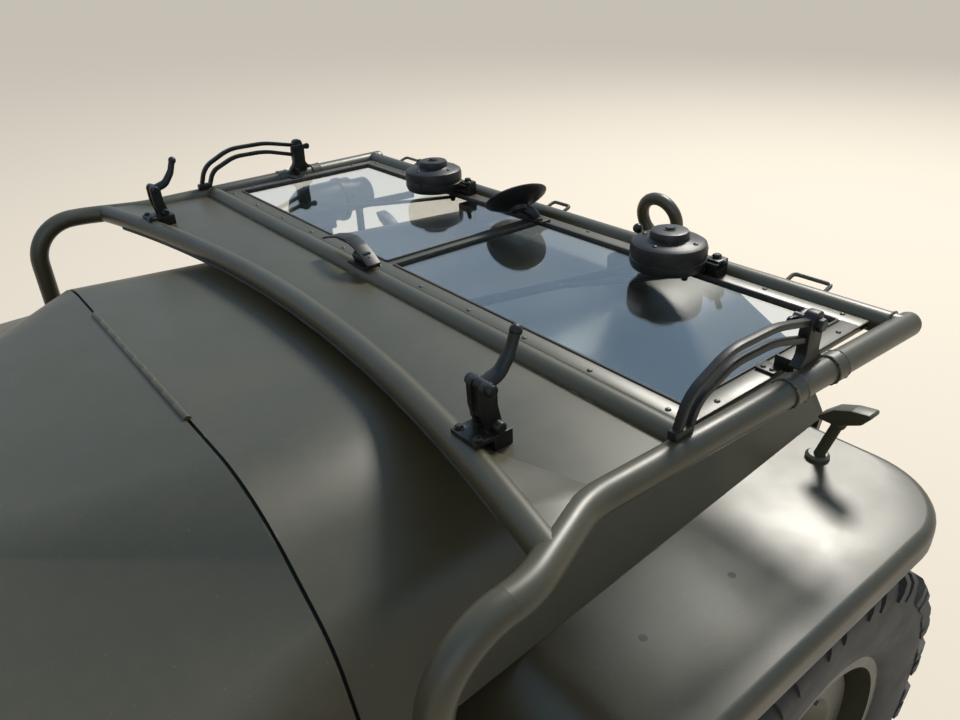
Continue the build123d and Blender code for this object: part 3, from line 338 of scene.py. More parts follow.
class Tree:
    """A node tree, with short calls for the nodes used here."""

    def __init__(self, owner):
        owner.use_nodes = True
        self.owner = owner
        self.tree = owner.node_tree
        self.tree.nodes.clear()
        self.bumps = None

    def add(self, kind, inputs=(), **settings):
        """New node; its inputs are (socket, value) pairs, and a value may be another node's output."""
        node = self.tree.nodes.new("ShaderNode" + kind)
        for key, value in settings.items():
            setattr(node, key, value)
        for key, value in inputs:
            self.put(node.inputs[key], value)
        return node

    def put(self, socket, value):
        if hasattr(value, "is_output"):
            self.tree.links.new(value, socket)
        elif hasattr(socket.default_value, "__len__") and len(value) == 3 and len(socket.default_value) == 4:
            socket.default_value = (*value, 1)
        else:
            socket.default_value = value

    def set(self, **values):
        for key, value in values.items():
            self.put(self.shader.inputs[key.replace("_", " ")], value)

    def noise(self, scale, detail=3, rough=0.5, vector=None):
        inputs = ("Scale", scale), ("Detail", detail), ("Roughness", rough), ("Vector", vector or self.coord)
        return self.add("TexNoise", inputs).outputs[0]

    def wave(self, scale, axis):
        inputs = ("Scale", scale), ("Vector", self.coord)
        return self.add("TexWave", inputs, bands_direction=axis).outputs["Fac"]

    def ramp(self, value, low, high, a=0, b=1):
        inputs = ("From Min", low), ("From Max", high), ("To Min", a), ("To Max", b), ("Value", value)
        return self.add("MapRange", inputs).outputs["Result"]

    def times(self, a, b):
        return self.add("Math", ((0, a), (1, b)), operation="MULTIPLY", use_clamp=True).outputs[0]

    def most(self, a, b):
        return self.add("Math", ((0, a), (1, b)), operation="MAXIMUM").outputs[0]

    def mix(self, factor, a, b):
        """Mix of two colours; 6 and 7 are the colour sockets of the node."""
        return self.add("Mix", (("Factor", factor), (6, a), (7, b)), data_type="RGBA").outputs[2]

    def height(self, vector):
        return self.add("SeparateXYZ", ((0, vector),)).outputs["Z"]

    def seen(self):
        """1 for what the camera, gloss and glass see, 0 for the light that falls on the object."""
        paths = self.add("LightPath").outputs
        seen = self.most(paths["Is Camera Ray"], paths["Is Glossy Ray"])
        return self.most(seen, paths["Is Transmission Ray"])

    def bump(self, height, strength, distance):
        inputs = [("Strength", strength), ("Distance", distance), ("Height", height)]
        if self.bumps:
            inputs.append(("Normal", self.bumps))
        self.bumps = self.add("Bump", inputs).outputs[0]
        self.put(self.shader.inputs["Normal"], self.bumps)

    def edges(self, radius):
        """0 on flat areas, 1 on worn outer edges."""
        bevel = self.add("Bevel", (("Radius", radius),), samples=4).outputs[0]
        normal = self.add("NewGeometry").outputs["Normal"]
        dot = self.add("VectorMath", ((0, bevel), (1, normal)), operation="DOT_PRODUCT")
        return self.ramp(dot.outputs["Value"], 0.985, 0.90)


def surface(name):
    """The tree of a new material, with its shader and the object's own coordinates."""
    t = Tree(bpy.data.materials.new(name))
    t.shader = t.add("BsdfPrincipled")
    t.add("OutputMaterial", ((0, t.shader.outputs[0]),))
    t.coord = t.add("TexCoord").outputs["Object"]
    return t


def paint(name, light, base, dark, rough, dusty, worn, specular):
    """Sprayed paint: faint blotches, a little settled dust, specks and thin edges."""
    t = surface(name)
    blotch = t.ramp(t.noise(2.6, 3, 0.5), 0.35, 0.68)
    colour = t.mix(blotch, dark, base)
    grain = t.ramp(t.noise(55, 4, 0.6), 0.45, 0.70)
    colour = t.mix(t.times(grain, 0.18), colour, light)
    top = t.ramp(t.height(t.add("NewGeometry").outputs["Normal"]), 0.2, 1)
    settled = t.times(top, t.ramp(t.noise(6, 5, 0.6), 0.40, 0.80))
    colour = t.mix(t.times(settled, dusty), colour, DUST)
    speck = t.ramp(t.noise(260, 2, 0.5), 0.71, 0.75)
    colour = t.mix(t.times(speck, 0.25), colour, DUST)
    chipped = t.times(t.edges(0.003), t.ramp(t.noise(35, 6, 0.7), 0.52, 0.64))
    colour = t.mix(t.times(chipped, worn), colour, STEEL)
    mottled = t.ramp(t.noise(9, 5, 0.6), 0.3, 0.7, rough - 0.04, rough + 0.07)
    t.set(Base_Color=colour, Specular_IOR_Level=specular, Roughness=mottled)
    t.bump(t.noise(420, 2, 0.5), 0.08, 0.0003)
    return t.owner


def rubber():
    t = surface("tyre_rubber")
    dust = t.ramp(t.noise(18, 7, 0.7), 0.42, 0.72)
    t.set(Base_Color=t.mix(t.times(dust, 0.55), (0.020, 0.020, 0.021), (0.11, 0.10, 0.085)))
    t.set(Roughness=t.ramp(dust, 0, 1, 0.62, 0.88))
    t.bump(t.noise(260, 3, 0.6), 0.35, 0.0006)
    return t.owner


def canvas():
    t = surface("canvas")
    weave = t.times(t.wave(520, "X"), t.wave(520, "Y"))
    faded = t.ramp(t.noise(6, 5, 0.6), 0.35, 0.7)
    dark = tuple(c * 0.72 for c in CANVAS)
    base = t.mix(faded, CANVAS, tuple(c * 1.25 for c in CANVAS))
    t.set(Base_Color=t.mix(t.times(weave, 0.55), base, dark))
    t.set(Roughness=0.92, Sheen_Weight=0.25)
    t.bump(weave, 0.5, 0.0005)
    t.bump(t.noise(14, 4, 0.6), 0.25, 0.003)
    return t.owner


def glass():
    t = surface("pane_glass")
    t.set(Base_Color=(0.93, 0.96, 0.95), Transmission_Weight=1, IOR=1.68)
    film = t.ramp(t.noise(12, 6, 0.7), 0.45, 0.8)
    t.set(Roughness=t.times(film, 0.03))
    return t.owner


def lens():
    t = surface("lamp_glass")
    t.set(Base_Color=(0.62, 0.64, 0.62), Metallic=0.35, Roughness=0.16, Coat_Weight=1, Coat_Roughness=0.04)
    t.bump(t.wave(60, "Y"), 0.6, 0.0015)
    return t.owner


def rust():
    t = surface("rusty_steel")
    patch = t.ramp(t.noise(20, 8, 0.7), 0.35, 0.65)
    t.set(Base_Color=t.mix(patch, (0.10, 0.055, 0.035), (0.23, 0.13, 0.075)), Roughness=0.9)
    t.bump(t.noise(120, 6, 0.7), 0.6, 0.001)
    return t.owner


def wood():
    t = surface("tool_wood")
    drawn_out = t.add("Mapping", (("Scale", (0.5, 9, 9)), ("Vector", t.coord))).outputs[0]
    grain = t.noise(30, 6, 0.6, drawn_out)
    worn = t.ramp(grain, 0.4, 0.62)
    t.set(Base_Color=t.mix(worn, (0.10, 0.10, 0.062), (0.23, 0.17, 0.10)), Roughness=0.72)
    t.bump(grain, 0.4, 0.001)
    return t.owner


def face_of_mirror():
    t = surface("mirror_face")
    smear = t.ramp(t.noise(25, 5, 0.6), 0.4, 0.8)
    t.set(Base_Color=(0.16, 0.165, 0.16), Metallic=1, Roughness=t.ramp(smear, 0, 1, 0.04, 0.12))
    return t.owner


def red_lens():
    t = surface("red_lens")
    t.set(Base_Color=(0.30, 0.012, 0.010), Roughness=0.12, Coat_Weight=1)
    t.bump(t.wave(70, "Z"), 0.4, 0.001)
    return t.owner


# Sprayed slots: light, base and dark colour, roughness, dust, wear and gloss
PAINTS = {
    "olive_paint": (OLIVE_LIGHT, OLIVE, OLIVE_DARK, 0.38, 0.05, 0.45, 0.5),
    "chassis_paint": (OLIVE, (0.05, 0.05, 0.034), (0.036, 0.036, 0.026), 0.55, 0.35, 0.3, 0.5),
    "engine_paint": ((0.13, 0.145, 0.13), (0.09, 0.105, 0.095), (0.065, 0.075, 0.065), 0.45, 0.3, 0.2, 0.5),
    "black_paint": ((0.022, 0.022, 0.019), (0.01, 0.01, 0.009), (0.007, 0.007, 0.006), 0.4, 0.04, 0.4, 0.32),
    "olive_plastic": (OLIVE, (0.05, 0.052, 0.036), (0.04, 0.042, 0.03), 0.38, 0.05, 0.1, 0.5),
}
MATERIALS = {name: paint(name, *row) for name, row in PAINTS.items()}
MATERIALS.update(rusty_steel=rust(), pane_glass=glass(), lamp_glass=lens(), canvas=canvas())
MATERIALS.update(tyre_rubber=rubber(), tool_wood=wood())
MIRROR_FACE = face_of_mirror()
RED_LENS = red_lens()

for row in frame["record"]["subparts"]:
    node = NODES[row["node"]]
    node.data.materials.clear()
    node.data.materials.append(MATERIALS[row["material_slot"]])


# The folded windshield

def arch_x(y):
    return ARCH_X - y * y / ARCH_CURVE


def side_y(x):
    return CORNER_Y + (x - CORNER_X) * 15 / 564


def windshield():
    """Tubes, panel, gussets, sleeves with weld beads, strap loops and pivot eyes."""
    s = Shape("windshield")
    corners = [(PIVOT_X, LEG_Y, 842), (PIVOT_X, 650.5, TUBE_Z), (625, LEG_Y, TUBE_Z)]
    corners += [(CORNER_X, CORNER_Y, TUBE_Z), (1285, side_y(1285), TUBE_Z)]
    eye = [(10.4, -14), (18, -14), (20, -12), (20, 12), (18, 14), (10.4, 14)]
    gusset = [(462, 705, 13.5), (510, 722, 14), (550, 735, 14), (585, 746, 14), (612, 752, 14), (632, 700, 13)]
    for s.place in SIDES:
        s.sweep(rounded(corners, (75, 120, 120), False, 12), circle(TUBE_R, 28), None, (0, 9))
        s.lathe(eye, (PIVOT_X, LEG_Y, PIVOT_Z), "y", 36, True)
        for sleeve in ((1024, 1043), (1104, 1123)):
            s.tube([(x, side_y(x), TUBE_Z) for x in sleeve], TUBE_R + 1.8, 0, 28)
            for x in sleeve:
                s.weld([(x, side_y(x) + b, TUBE_Z + c) for b, c in circle(TUBE_R + 0.8, 44)], 1.7)
        rows = []
        for y, front, rise in gusset:
            back = arch_x(y)
            edge_z = TUBE_Z + (4.6 if y < 590 else 9)
            row = [(back, y, TUBE_Z + rise), ((back + 2 * front) / 3, y, edge_z + 3.5), (front, y, edge_z)]
            rows.append(row + [(front, y, TUBE_Z - 2), (back, y, TUBE_Z - 2)])
        s.grid(rows, around=True, caps=True)
    for s.place, low, high in ((LEFT, 458, 514), (RIGHT, 458, 514), (RIGHT, -26, 15)):
        loop = [(8, low, 1091), (26, low, 1097), (26, high, 1097), (8, high, 1091)]
        s.tube([(TOP_X + x, y, z) for x, y, z in loop], 3, (6, 6), 10)
    s.place = LEFT
    for x, reach in ((TOP_X, 622), (MID_X, 611)):
        s.tube([(x, y, TUBE_Z) for y in (-reach, 0, reach)], TUBE_R, 0, 28)
    stations = [-ARCH_Y + 2 * ARCH_Y * i / 48 for i in range(49)]
    s.tube([(arch_x(y), y, TUBE_Z) for y in [-632] + stations + [632]], TUBE_R, 0, 28)
    for level in (TUBE_Z + 1.5, TUBE_Z - 1.5):
        rows = []
        for i in range(7):
            z = level + 3 * sin(pi * i / 6)
            rows.append([(arch_x(y) + (MID_X - arch_x(y)) * i / 6, y, z) for y in stations])
        s.grid(rows)
    for x in (MID_X, TOP_X):
        for end in (-1, 1):
            ring = [(b, side_y(x) - 15 + 2.5 * abs(c) / TUBE_R, c) for b, c in circle(TUBE_R, 40)]
            s.weld([(x + b, end * y, TUBE_Z + c) for b, y, c in ring], 2)
    s.piece("windshield_tubes", "windshield_frame")
    seal = Shape("windshield")
    seal.tube([(arch_x(y) - 9, y, TUBE_Z - 13) for y in stations[2:-2]], 4.5, 0, 12, (4, 4))
    seal.piece("windshield_seal", "", "tyre_rubber")


def sash():
    """Glass frame with rounded rails, corner plates, screws and the rubber channel round each pane."""
    s = Shape("windshield")
    low, high = SASH_X
    inner_low, inner_high = low + SASH_RIM, high - SASH_RIM
    base, top = SASH_Z
    ends = inner_low + 1, inner_high - 1
    s.box((low, inner_low), (-SASH_Y, SASH_Y), SASH_Z, 3)
    s.box((inner_high, high), (-SASH_Y, SASH_Y), SASH_Z, 3)
    for end in (-1, 1):
        side = sorted((end * SASH_Y, end * (SASH_Y - SASH_RIM)))
        s.box((low + 2, high - 2), side, (base + 0.2, top - 0.2), 3)
        for x in (950, 1070, 1190):
            s.screw((x, end * (SASH_Y - 9), top - 0.4), "z", 3.6)
    s.box((low + 6, high - 6), (-9, 9), (base + 1, top - 1), 2.5)
    s.box((high - 16, TOP_X - TUBE_R + 6), (-500, 500), (base, base + 5), 1)
    for y in range(-560, 561, 112):
        for x in (low + 8, high - 8):
            s.screw((x, y, top - 0.3), "z", 3.6)
    s.piece("sash", "glass_frame")
    r = Shape("windshield")
    for end in (-1, 1):
        inner, outer = end * 10, end * (SASH_Y - SASH_RIM - 1)
        corners = [(ends[0], inner), (ends[1], inner), (ends[1], outer), (ends[0], outer)]
        for height in (top - 2.8, base + 2.8):
            path = rounded([(x, y, height) for x, y in corners], 4, True, 3)
            r.sweep(path + [path[0]], rectangle(9, 4, 1.4), (0, 0, 1))
    r.piece("pane_rubber", "", "tyre_rubber")


def quadrants():
    """Slotted adjusting arms with posts, feet and wing nuts on both side tubes."""
    s = Shape("windshield")
    outer = raised(((321, 19), (334, 58), (392, 85), (470, 84), (548, 66)), QUADRANT_Y)
    inner = raised(((338, 19), (350, 47), (400, 68), (468, 67), (540, 47)), QUADRANT_Y)
    post = [(518, 16.6), (530, 30), (529, 60), (536, 80), (552, 80), (557, 60), (556, 30), (569, 16.6)]
    nut_x, nut_z = 1073, 1146
    for s.place in SIDES:
        for arm, bends in ((outer, (44, 90, 150)), (inner, (32, 80, 150))):
            s.sweep(rounded(arm, bends, False, 12), rectangle(9, 7.5), (0, 1, 0), (2, 2))
        s.box((844, 872), (601, 613), (CREST - 1, CREST + 10), 3)
        s.prism(raised(post), "y", (600, 614), (2, 12, 40, 8, 8, 40, 12, 2), 2)
        s.nut((nut_x, 613.5, nut_z), "y", 16, 8)
        s.tube([(nut_x, 586, nut_z), (nut_x, 602, nut_z)], 6, 0, 16)
        for end in (-1, 1):
            wing = [(4, 1142), (20, 1139), (22, 1153), (4, 1150)]
            s.prism([(nut_x + end * x, z) for x, z in wing], "y", (588, 593), (1, 5, 5, 1), 1.2)
        s.box((1038, 1060), (568, 592), (BRACKET_Z, 1089.4), 1.2)
        s.box((1056, 1060), (580, 603), (BRACKET_Z, 1103), 1)
        for y in (575, 586):
            s.screw((1044, y, 1089), "z", 3.4)
    s.piece("quadrant_arms", "quadrants", "black_paint")


def clamps():
    """Hold-down clamps with curved horns, and the latch on the middle tube."""
    s = Shape("windshield")
    base = [(166, 16), (190, 16), (190, 1.8), (213, 1.8), (213, 21), (166, 21)]
    plate = [(190, 18), (208, 18), (201, 48), (200, 74), (182, 76), (183, 46)]
    core = [(186, 34), (198, 34), (197, 66), (186, 68)]
    horn = rounded(raised(((188, 66), (214, 74), (228, 92), (235, 112)), CLAMP_Y), (20, 34), False, 8)
    aside = Vector((0, 1, 0))
    for s.place in SIDES:
        s.prism(raised(base), "y", (456, 496), 0, 1.2)
        for span in ((463, 470), (482, 489)):
            s.prism(raised(plate), "y", span, (1, 1, 22, 7, 7, 22), 1.2)
        s.prism(raised(core), "y", (469, 483), (2, 2, 4, 4), 1)
        for x, z, half in ((728, 1107, 20), (721, 1149, 17)):
            s.tube([(x, CLAMP_Y - half, z), (x, CLAMP_Y + half, z)], 6.5, 0, 16, (2.5, 2.5))
        rows = []
        for i, p in enumerate(horn):
            share = i / (len(horn) - 1)
            along = (horn[min(i + 1, len(horn) - 1)] - horn[max(i - 1, 0)]).normalized()
            wide, high = aside * (9.5 - 3.4 * share), along.cross(aside) * (7 - 1.6 * share)
            rows.append([p + wide * a + high * b for a, b in circle(1, 16)])
        s.grid(rows, around=True, caps=True)
        s.ball((765.5, CLAMP_Y, 1192), 6.8)
        for y in (461, 491):
            s.nut((704, y, TUBE_Z + 20.5), "z", 9, 4)
    s.place = LEFT
    s.box((857, 887), (-24, 24), (CREST - 0.5, CREST + 4), 1.5)
    s.tube([(MID_X, -19, CREST + 10), (MID_X, 19, CREST + 10)], 7.5, 0, 16, (2, 2))
    leaf = [(-30, 24), (-14, 34), (6, 44), (30, 50), (56, 48), (84, 41), (104, 34)]
    path = rounded([(MID_X, y, TUBE_Z + z) for y, z in leaf], 30, False, 3)
    s.sweep(path, rectangle(24, 3.2, 1.2), (1, 0, 0), (1.5, 1.5))
    s.box((866, 878), (-15, -4), (CREST, TUBE_Z + 38), 1.5)
    s.piece("clamps_and_latch", "windshield_clamps", "black_paint")


def wipers():
    """Two wiper motors with lever, bracket, shaft, arm and blade."""
    s = Shape("windshield")
    case = [(0, 1096), (48, 1096), (52, 1098), (54, 1102), (55, 1106), (55, 1112), (53.5, 1113), (53.5, 1116)]
    case += [(55, 1117), (55, 1128), (53, 1134), (47, 1137.5), (30, 1138.5), (28, 1140), (28, 1148)]
    case += [(26, 1151), (22, 1152), (0, 1152)]
    blade = [(-4, 1062), (-4.5, 1069), (-1.2, 1075.2), (1.2, 1075.2), (4.5, 1069), (4, 1062)]
    lever_x, arm_z = 1222, 1066
    for y, top_y, low_y in MOTORS:
        s.lathe(case, (MOTOR_X, y, 0), "z", 56)
        for a in map(radians, (20, 100, 190, 280)):
            s.screw((MOTOR_X + 41 * cos(a), y + 41 * sin(a), 1137.6), "z", 4)
        s.nut((MOTOR_X, y, 1151.5), "z", 15, 4)
        s.box((1224, 1248), (y - 48, y + 48), (BRACKET_Z, 1098), 2)
        s.box((1224, 1248), (y - 64, y - 40), (BRACKET_Z, 1112), 3)
        s.nut((SHAFT_X, y - 52, 1111.5), "z", 13, 6)
        lever = [(lever_x, 38, 1107), (lever_x, 62, 1107), (lever_x, 74, 1112), (1214, 76, 1128)]
        s.tube([(x, y + out, z) for x, out, z in lever], 4.2, (6, 6), 12, (2, 2))
        s.ball((1213, y + 76.5, 1130), 7.5)
        s.tube([(lever_x, y - 40, 1104), (lever_x, y - 68, 1104), (1218, y - 78, 1116)], 4.2, (6,), 12, (3, 3))
        s.tube([(SHAFT_X, y, 1060), (SHAFT_X, y, 1098)], 5, 0, 14, (2, 0))
        s.nut((SHAFT_X, y, 1068), (0, 0, -1), 13, 5)
        reach = (top_y + low_y) / 2 - y
        arm = [(SHAFT_X, y, arm_z), (1160, y + reach * 0.42, arm_z), (1058.5, y + reach, 1067)]
        s.tube(arm, 3.4, (60,), 10, (2, 2))
        rows = [[(x, at_y + side, z) for side, z in blade] for x, at_y in ((932, low_y), (1185, top_y))]
        s.grid(rows, around=True, caps=True)
    s.piece("wiper_motors", "wipers", "black_paint")


def mirror():
    """Round mirror with a deep dished back, bright rim and thick neck."""
    at = Vector((1198, 22, 1123))
    facing = Vector((0.161, 0.581, 0.798)).normalized()
    s = Shape("windshield")
    back = [(0, -15), (16, -15), (30, -11), (44, -6), (53, -1), (55.5, 2), (55.5, 4), (54, 5), (52, 4.4)]
    s.lathe(back, at, facing, 56)
    s.tube([(1220, -6, 1087), (1217, -3, 1098), at - facing * 12], 9, (12,), 18)
    s.tube([at - facing * 20, at - facing * 6], 15, 0, 24, (4, 0))
    s.box((1207, 1233), (-30, 18), (BRACKET_Z, 1091), 2)
    s.nut((1213, -22, 1090.5), "z", 11, 5)
    s.piece("mirror_body", "mirror", "black_paint")
    f = Shape("windshield")
    f.lathe([(0, 3.6), (50, 3.9), (53, 4.2)], at, facing, 56)
    f.piece("mirror_glass", "", "black_paint").data.materials[0] = MIRROR_FACE


# Hood, cowl and fenders

def half_section(corners, inset=0):
    """Half outline from the centre line to the side, always with the same number of points."""
    line = rounded(corners, SECTION_BENDS, False, 12)
    inner = [line[0].lerp(line[1], i / 8) for i in range(8)]
    return [(p.x - (inset if k else 0), p.y - inset) for k, p in enumerate(inner + line[1:])]


def section_row(corners, x, foot=None, inset=0):
    """Whole outline at x, from the right foot over the top to the left foot."""
    half = half_section(corners, inset)
    if foot is not None:
        half = half + [(half[-1][0], foot)]
    return [(x, -y, z) for y, z in reversed(half)] + [(x, y, z) for y, z in half[1:]]


def loft(shape, a, b, x, count, foot=None, inset=0):
    """Sheet between two sections at two places along the car."""
    low, high = section_row(a, x[0], foot, inset), section_row(b, x[1], foot, inset)
    rows = []
    for i in range(count + 1):
        share = i / count
        rows.append([tuple(u + (v - u) * share for u, v in zip(p, q)) for p, q in zip(low, high)])
    shape.grid(rows)


def hood():
    """Crowned hood with its hinge barrel and rest blocks."""
    s = Shape()
    loft(s, SEAM_SECTION, NOSE_SECTION, (SEAM_X, NOSE_X), 14)
    s.piece("hood_skin", "hood", limit=50, thick=3)
    d = Shape()
    barrel_x = SEAM_X - SEAM_GAP / 2
    for low in range(-190, 190, 38):
        d.tube([(barrel_x, low + 0.5, 1057.5), (barrel_x, low + 37.5, 1057.5)], 5, 0, 14, (0.8, 0.8))
    for end in (-1, 1):
        d.box((1223, 1313), sorted((end * 172, end * 228)), (1020, 1063.5), 4)
    d.piece("hood_fittings")


def cowl():
    """Cowl skin, fire wall, dash with gauges, grab bar, windshield pivots and the hood's rest webbing."""
    s = Shape()
    front = SEAM_X - SEAM_GAP
    loft(s, DASH_SECTION, SEAM_SECTION, (COWL_X, front), 8, FLOOR_Z)
    s.piece("cowl_skin", "cowl", limit=50, thick=3)
    d = Shape()
    wall = section_row(SEAM_SECTION, front - 3, FLOOR_Z, 3.2)
    d.prism([(y, z) for _, y, z in wall], "x", (front - 7, front - 4))
    dash = [(y, z) for _, y, z in section_row(DASH_SECTION, COWL_X, None, 3) if z > 905]
    d.prism([(-588, 892)] + dash + [(588, 892)], "x", (COWL_X - 1, COWL_X + 3), 0, 0.8)
    for y, radius in GAUGES:
        bezel = [(radius - 5, -7), (radius, -7), (radius + 1, -4), (radius + 1, 0)]
        d.lathe(bezel, (COWL_X - 1, y, GAUGE_Z), "x", 40)
    for y in (-60, -30, 30, 60, 230, 255):
        d.tube([(COWL_X - 20, y, 908), (COWL_X, y, 908)], 4, 0, 10)
        d.lathe([(0, -8), (9, -7), (10, -3), (8, 0), (0, 0)], (COWL_X - 20, y, 908), "x", 20)
    bar = [(COWL_X, -320, 935), (COWL_X - 42, -320, 935), (COWL_X - 42, -520, 935), (COWL_X, -520, 935)]
    d.tube(bar, 7, (18, 18), 12)
    d.box((COWL_X - 2.5, COWL_X - 0.8), (-300, -170), (918, 985), 0.6)
    for d.place in SIDES:
        d.tube([(PIVOT_X, 545, PIVOT_Z), (PIVOT_X, 668, PIVOT_Z)], 10, 0, 24, (0, 2))
        d.nut((PIVOT_X, 664.6, PIVOT_Z), "y", 30, 9)
        d.tube([(PIVOT_X, 550, PIVOT_Z), (PIVOT_X, 635.5, PIVOT_Z)], 13, 0, 24)
        d.box((462, 543), (545, 557), (796, 844), 3)
        for x, z in ((474, 808), (474, 832), (500, 808)):
            d.nut((x, 556.5, z), "y", 12, 5)
    d.piece("cowl_fittings")
    lip = Shape()
    loft(lip, SEAM_SECTION, SEAM_SECTION, (front - 12, SEAM_X + 14), 1, 700, 4.6)
    lip.piece("hood_rest_webbing", "", "black_paint", 50, 1.5)
    g = Shape()
    for y, radius in GAUGES:
        g.lathe([(0, -2), (radius - 5, -2)], (COWL_X - 1, y, GAUGE_Z), "x", 40)
        g.box((COWL_X - 4.4, COWL_X - 3.6), (y - 1, y + 1), (GAUGE_Z, GAUGE_Z + radius * 0.66), 0)
    g.piece("gauge_faces", "", "black_paint")


def fender_height(line, x):
    """Height of a (length, height) line at a place along the car."""
    for a, b in zip(line, line[1:]):
        if a.x <= x <= b.x:
            return a.y + (b.y - a.y) * (x - a.x) / (b.x - a.x)


def fender_skin(s):
    """Flat fender with a rolled outer edge, a rounded front corner and a sloping rear."""
    foot_x, front, outer, inner, corner, stop_y, roll = 526.3, 1350, 733, 400, 130, 465, 15
    line = rounded([(foot_x, 600), (690, FENDER_Z), (front, FENDER_Z)], 90, False, 10)
    edge = [(x, outer - roll, 0, 1) for x in [p.x for p in line[:-1]] + [820, 960, 1100, 1200]]
    radius = corner - roll
    for i in range(13):
        nx, ny = sin(radians(90 * i / 12)), cos(radians(90 * i / 12))
        edge.append((front - corner + radius * nx, outer - corner + radius * ny, nx, ny))
    rows = []
    for x, y, nx, ny in edge + [(front - roll, y, 1, 0) for y in (560, 520, stop_y)]:
        z = fender_height(line, x)
        steps = [(0, 0)]
        for a in map(radians, (22, 45, 68, 90)):
            steps.append((roll * sin(a), roll - roll * cos(a)))
        drop = 14 if x < 600 else 0
        steps += [(roll, 36 + drop), (roll - 3, 38 + drop)]
        rows.append([(x + nx * out, y + ny * out, z - down) for out, down in steps])
    s.grid(rows)
    top = []
    for x, y, _, _ in edge:
        start = inner if x < 1304 else stop_y
        top.append([(x, start + (y - start) * k / 5, fender_height(line, x)) for k in range(6)])
    s.grid(top)


def fenders():
    """Both front fenders with apron, hood catch and footing bolts; their bare holes are flat black discs of
    painted shade.
    """
    apron = [(526.3, FLOOR_Z), (526.3, 600), (612, 726), (690, 843), (1310, 843), (1310, FLOOR_Z)]
    cap = [(540, 914), (566, 938), (590, 947), (622, 952), (606, 930), (574, 914)]
    x = 1272
    for name, place in (("left", LEFT), ("right", RIGHT)):
        s = Shape()
        s.place = place
        fender_skin(s)
        s.piece("fender_skin_" + name, "fender_" + name, limit=40, thick=2.5)
        d = Shape()
        d.place = place
        d.prism(apron, "y", (397, 400), 0, 0.8)
        d.lathe([(0, 8), (13, 8), (17, 5), (17, 0), (0, 0)], (x, 552, FENDER_Z), "z", 28)
        d.tube([(x, 552, FENDER_Z), (x, 562, 880), (x, 572, 914)], 8, (40,), 18)
        d.ball((x, 572, 914), 11)
        d.prism(cap, "x", (x - 13, x + 13), (4, 9, 14, 4, 9, 4), 4)
        for bolt_x in (760, 900, 1040, 1180, 1300):
            d.screw((bolt_x, 470, FENDER_Z), "z", 5)
        d.piece("fender_fittings_" + name)
    # Bare holes: flat black discs on the fender top, painted shade in place of the dark openings
    h = Shape()
    for at in ((980, 614), (828, 608), (980, -614), (828, -608)):
        h.lathe([(0, 0.4), (5.2, 0.4)], (*at, FENDER_Z), "z", 20)
    h.piece("fender_hole_painted_shade", "", "black_paint")


def lamps():
    """Headlamps behind the grille, and the hooded lamp and marker on the left fender."""
    s = Shape()
    g = Shape()
    head = (1382, 372, 800)
    bucket = [(0, -56), (40, -53), (70, -36), (79, -12), (83, -10), (83.5, -2), (80, 0), (76, 1)]
    for s.place in SIDES:
        g.place = s.place
        s.lathe(bucket, head, "x", 48)
        g.lathe([(77, 0), (66, 5), (44, 9.5), (20, 11.6), (0, 12)], head, "x", 48)
        s.screw((1383, 372, 884), "x", 4)
    s.place = g.place = LEFT
    x, y, z = 1125, 620, 1000
    shell = [(0, -84), (16, -81), (30, -72), (41, -56), (46, -38), (46, 36), (50, 38), (50, 47), (45, 49)]
    s.lathe(shell, (x, y, z), "x", 40)
    visor = [radians(a) for a in range(20, 161, 10)]
    s.grid([[(px, y + 47 * cos(a), z + 47 * sin(a)) for a in visor] for px in (x + 47, x + 69)])
    g.lathe([(44, 45), (30, 47), (0, 48.5)], (x, y, z), "x", 40)
    s.tube([(x, y, FENDER_Z), (x, y, z - 40)], 13, 0, 20)
    s.box((x - 20, x + 20), (y - 16, y + 16), (z - 60, z - 38), 4)
    mx, my, mz = 1212, 612, 1006
    s.lathe([(0, -26), (32, -26), (36, -22), (36, 22), (33, 26), (30, 26)], (mx, my, mz), "x", 36)
    g.lathe([(31, 24), (16, 29), (0, 31)], (mx, my, mz), "x", 36)
    s.tube([(mx, my, FENDER_Z), (mx, my, mz - 30)], 9, 0, 16)
    base = [(x - 34, y - 34), (mx + 30, my - 30), (mx + 30, my + 30), (x - 34, y + 34)]
    s.prism(base, "z", (FENDER_Z, FENDER_Z + 4), 12, 1)
    for at in ((x - 22, y - 22), (x - 22, y + 22), (mx + 18, my - 18), (mx + 18, my + 18)):
        s.nut((*at, FENDER_Z + 3.5), "z", 11, 5)
    s.piece("lamp_shells", "lamps")
    g.piece("lamp_lenses", "", "lamp_glass")


def tail_lamps():
    s = Shape()
    g = Shape()
    at = (-1460, 660, 700)
    for s.place in SIDES:
        g.place = s.place
        s.lathe([(0, 0), (36, 0), (38, 3), (38, 28), (36, 34), (31, 35), (30, 33)], at, (-1, 0, 0), 36)
        g.lathe([(31, 33), (20, 35.3), (0, 35.8)], at, (-1, 0, 0), 32)
        s.box((-1494, -1470), (626, 694), (734, 740), 1.5)
    s.piece("tail_lamp_shells", "tail_lamps")
    g.piece("tail_lamp_lenses", "", "lamp_glass").data.materials[0] = RED_LENS


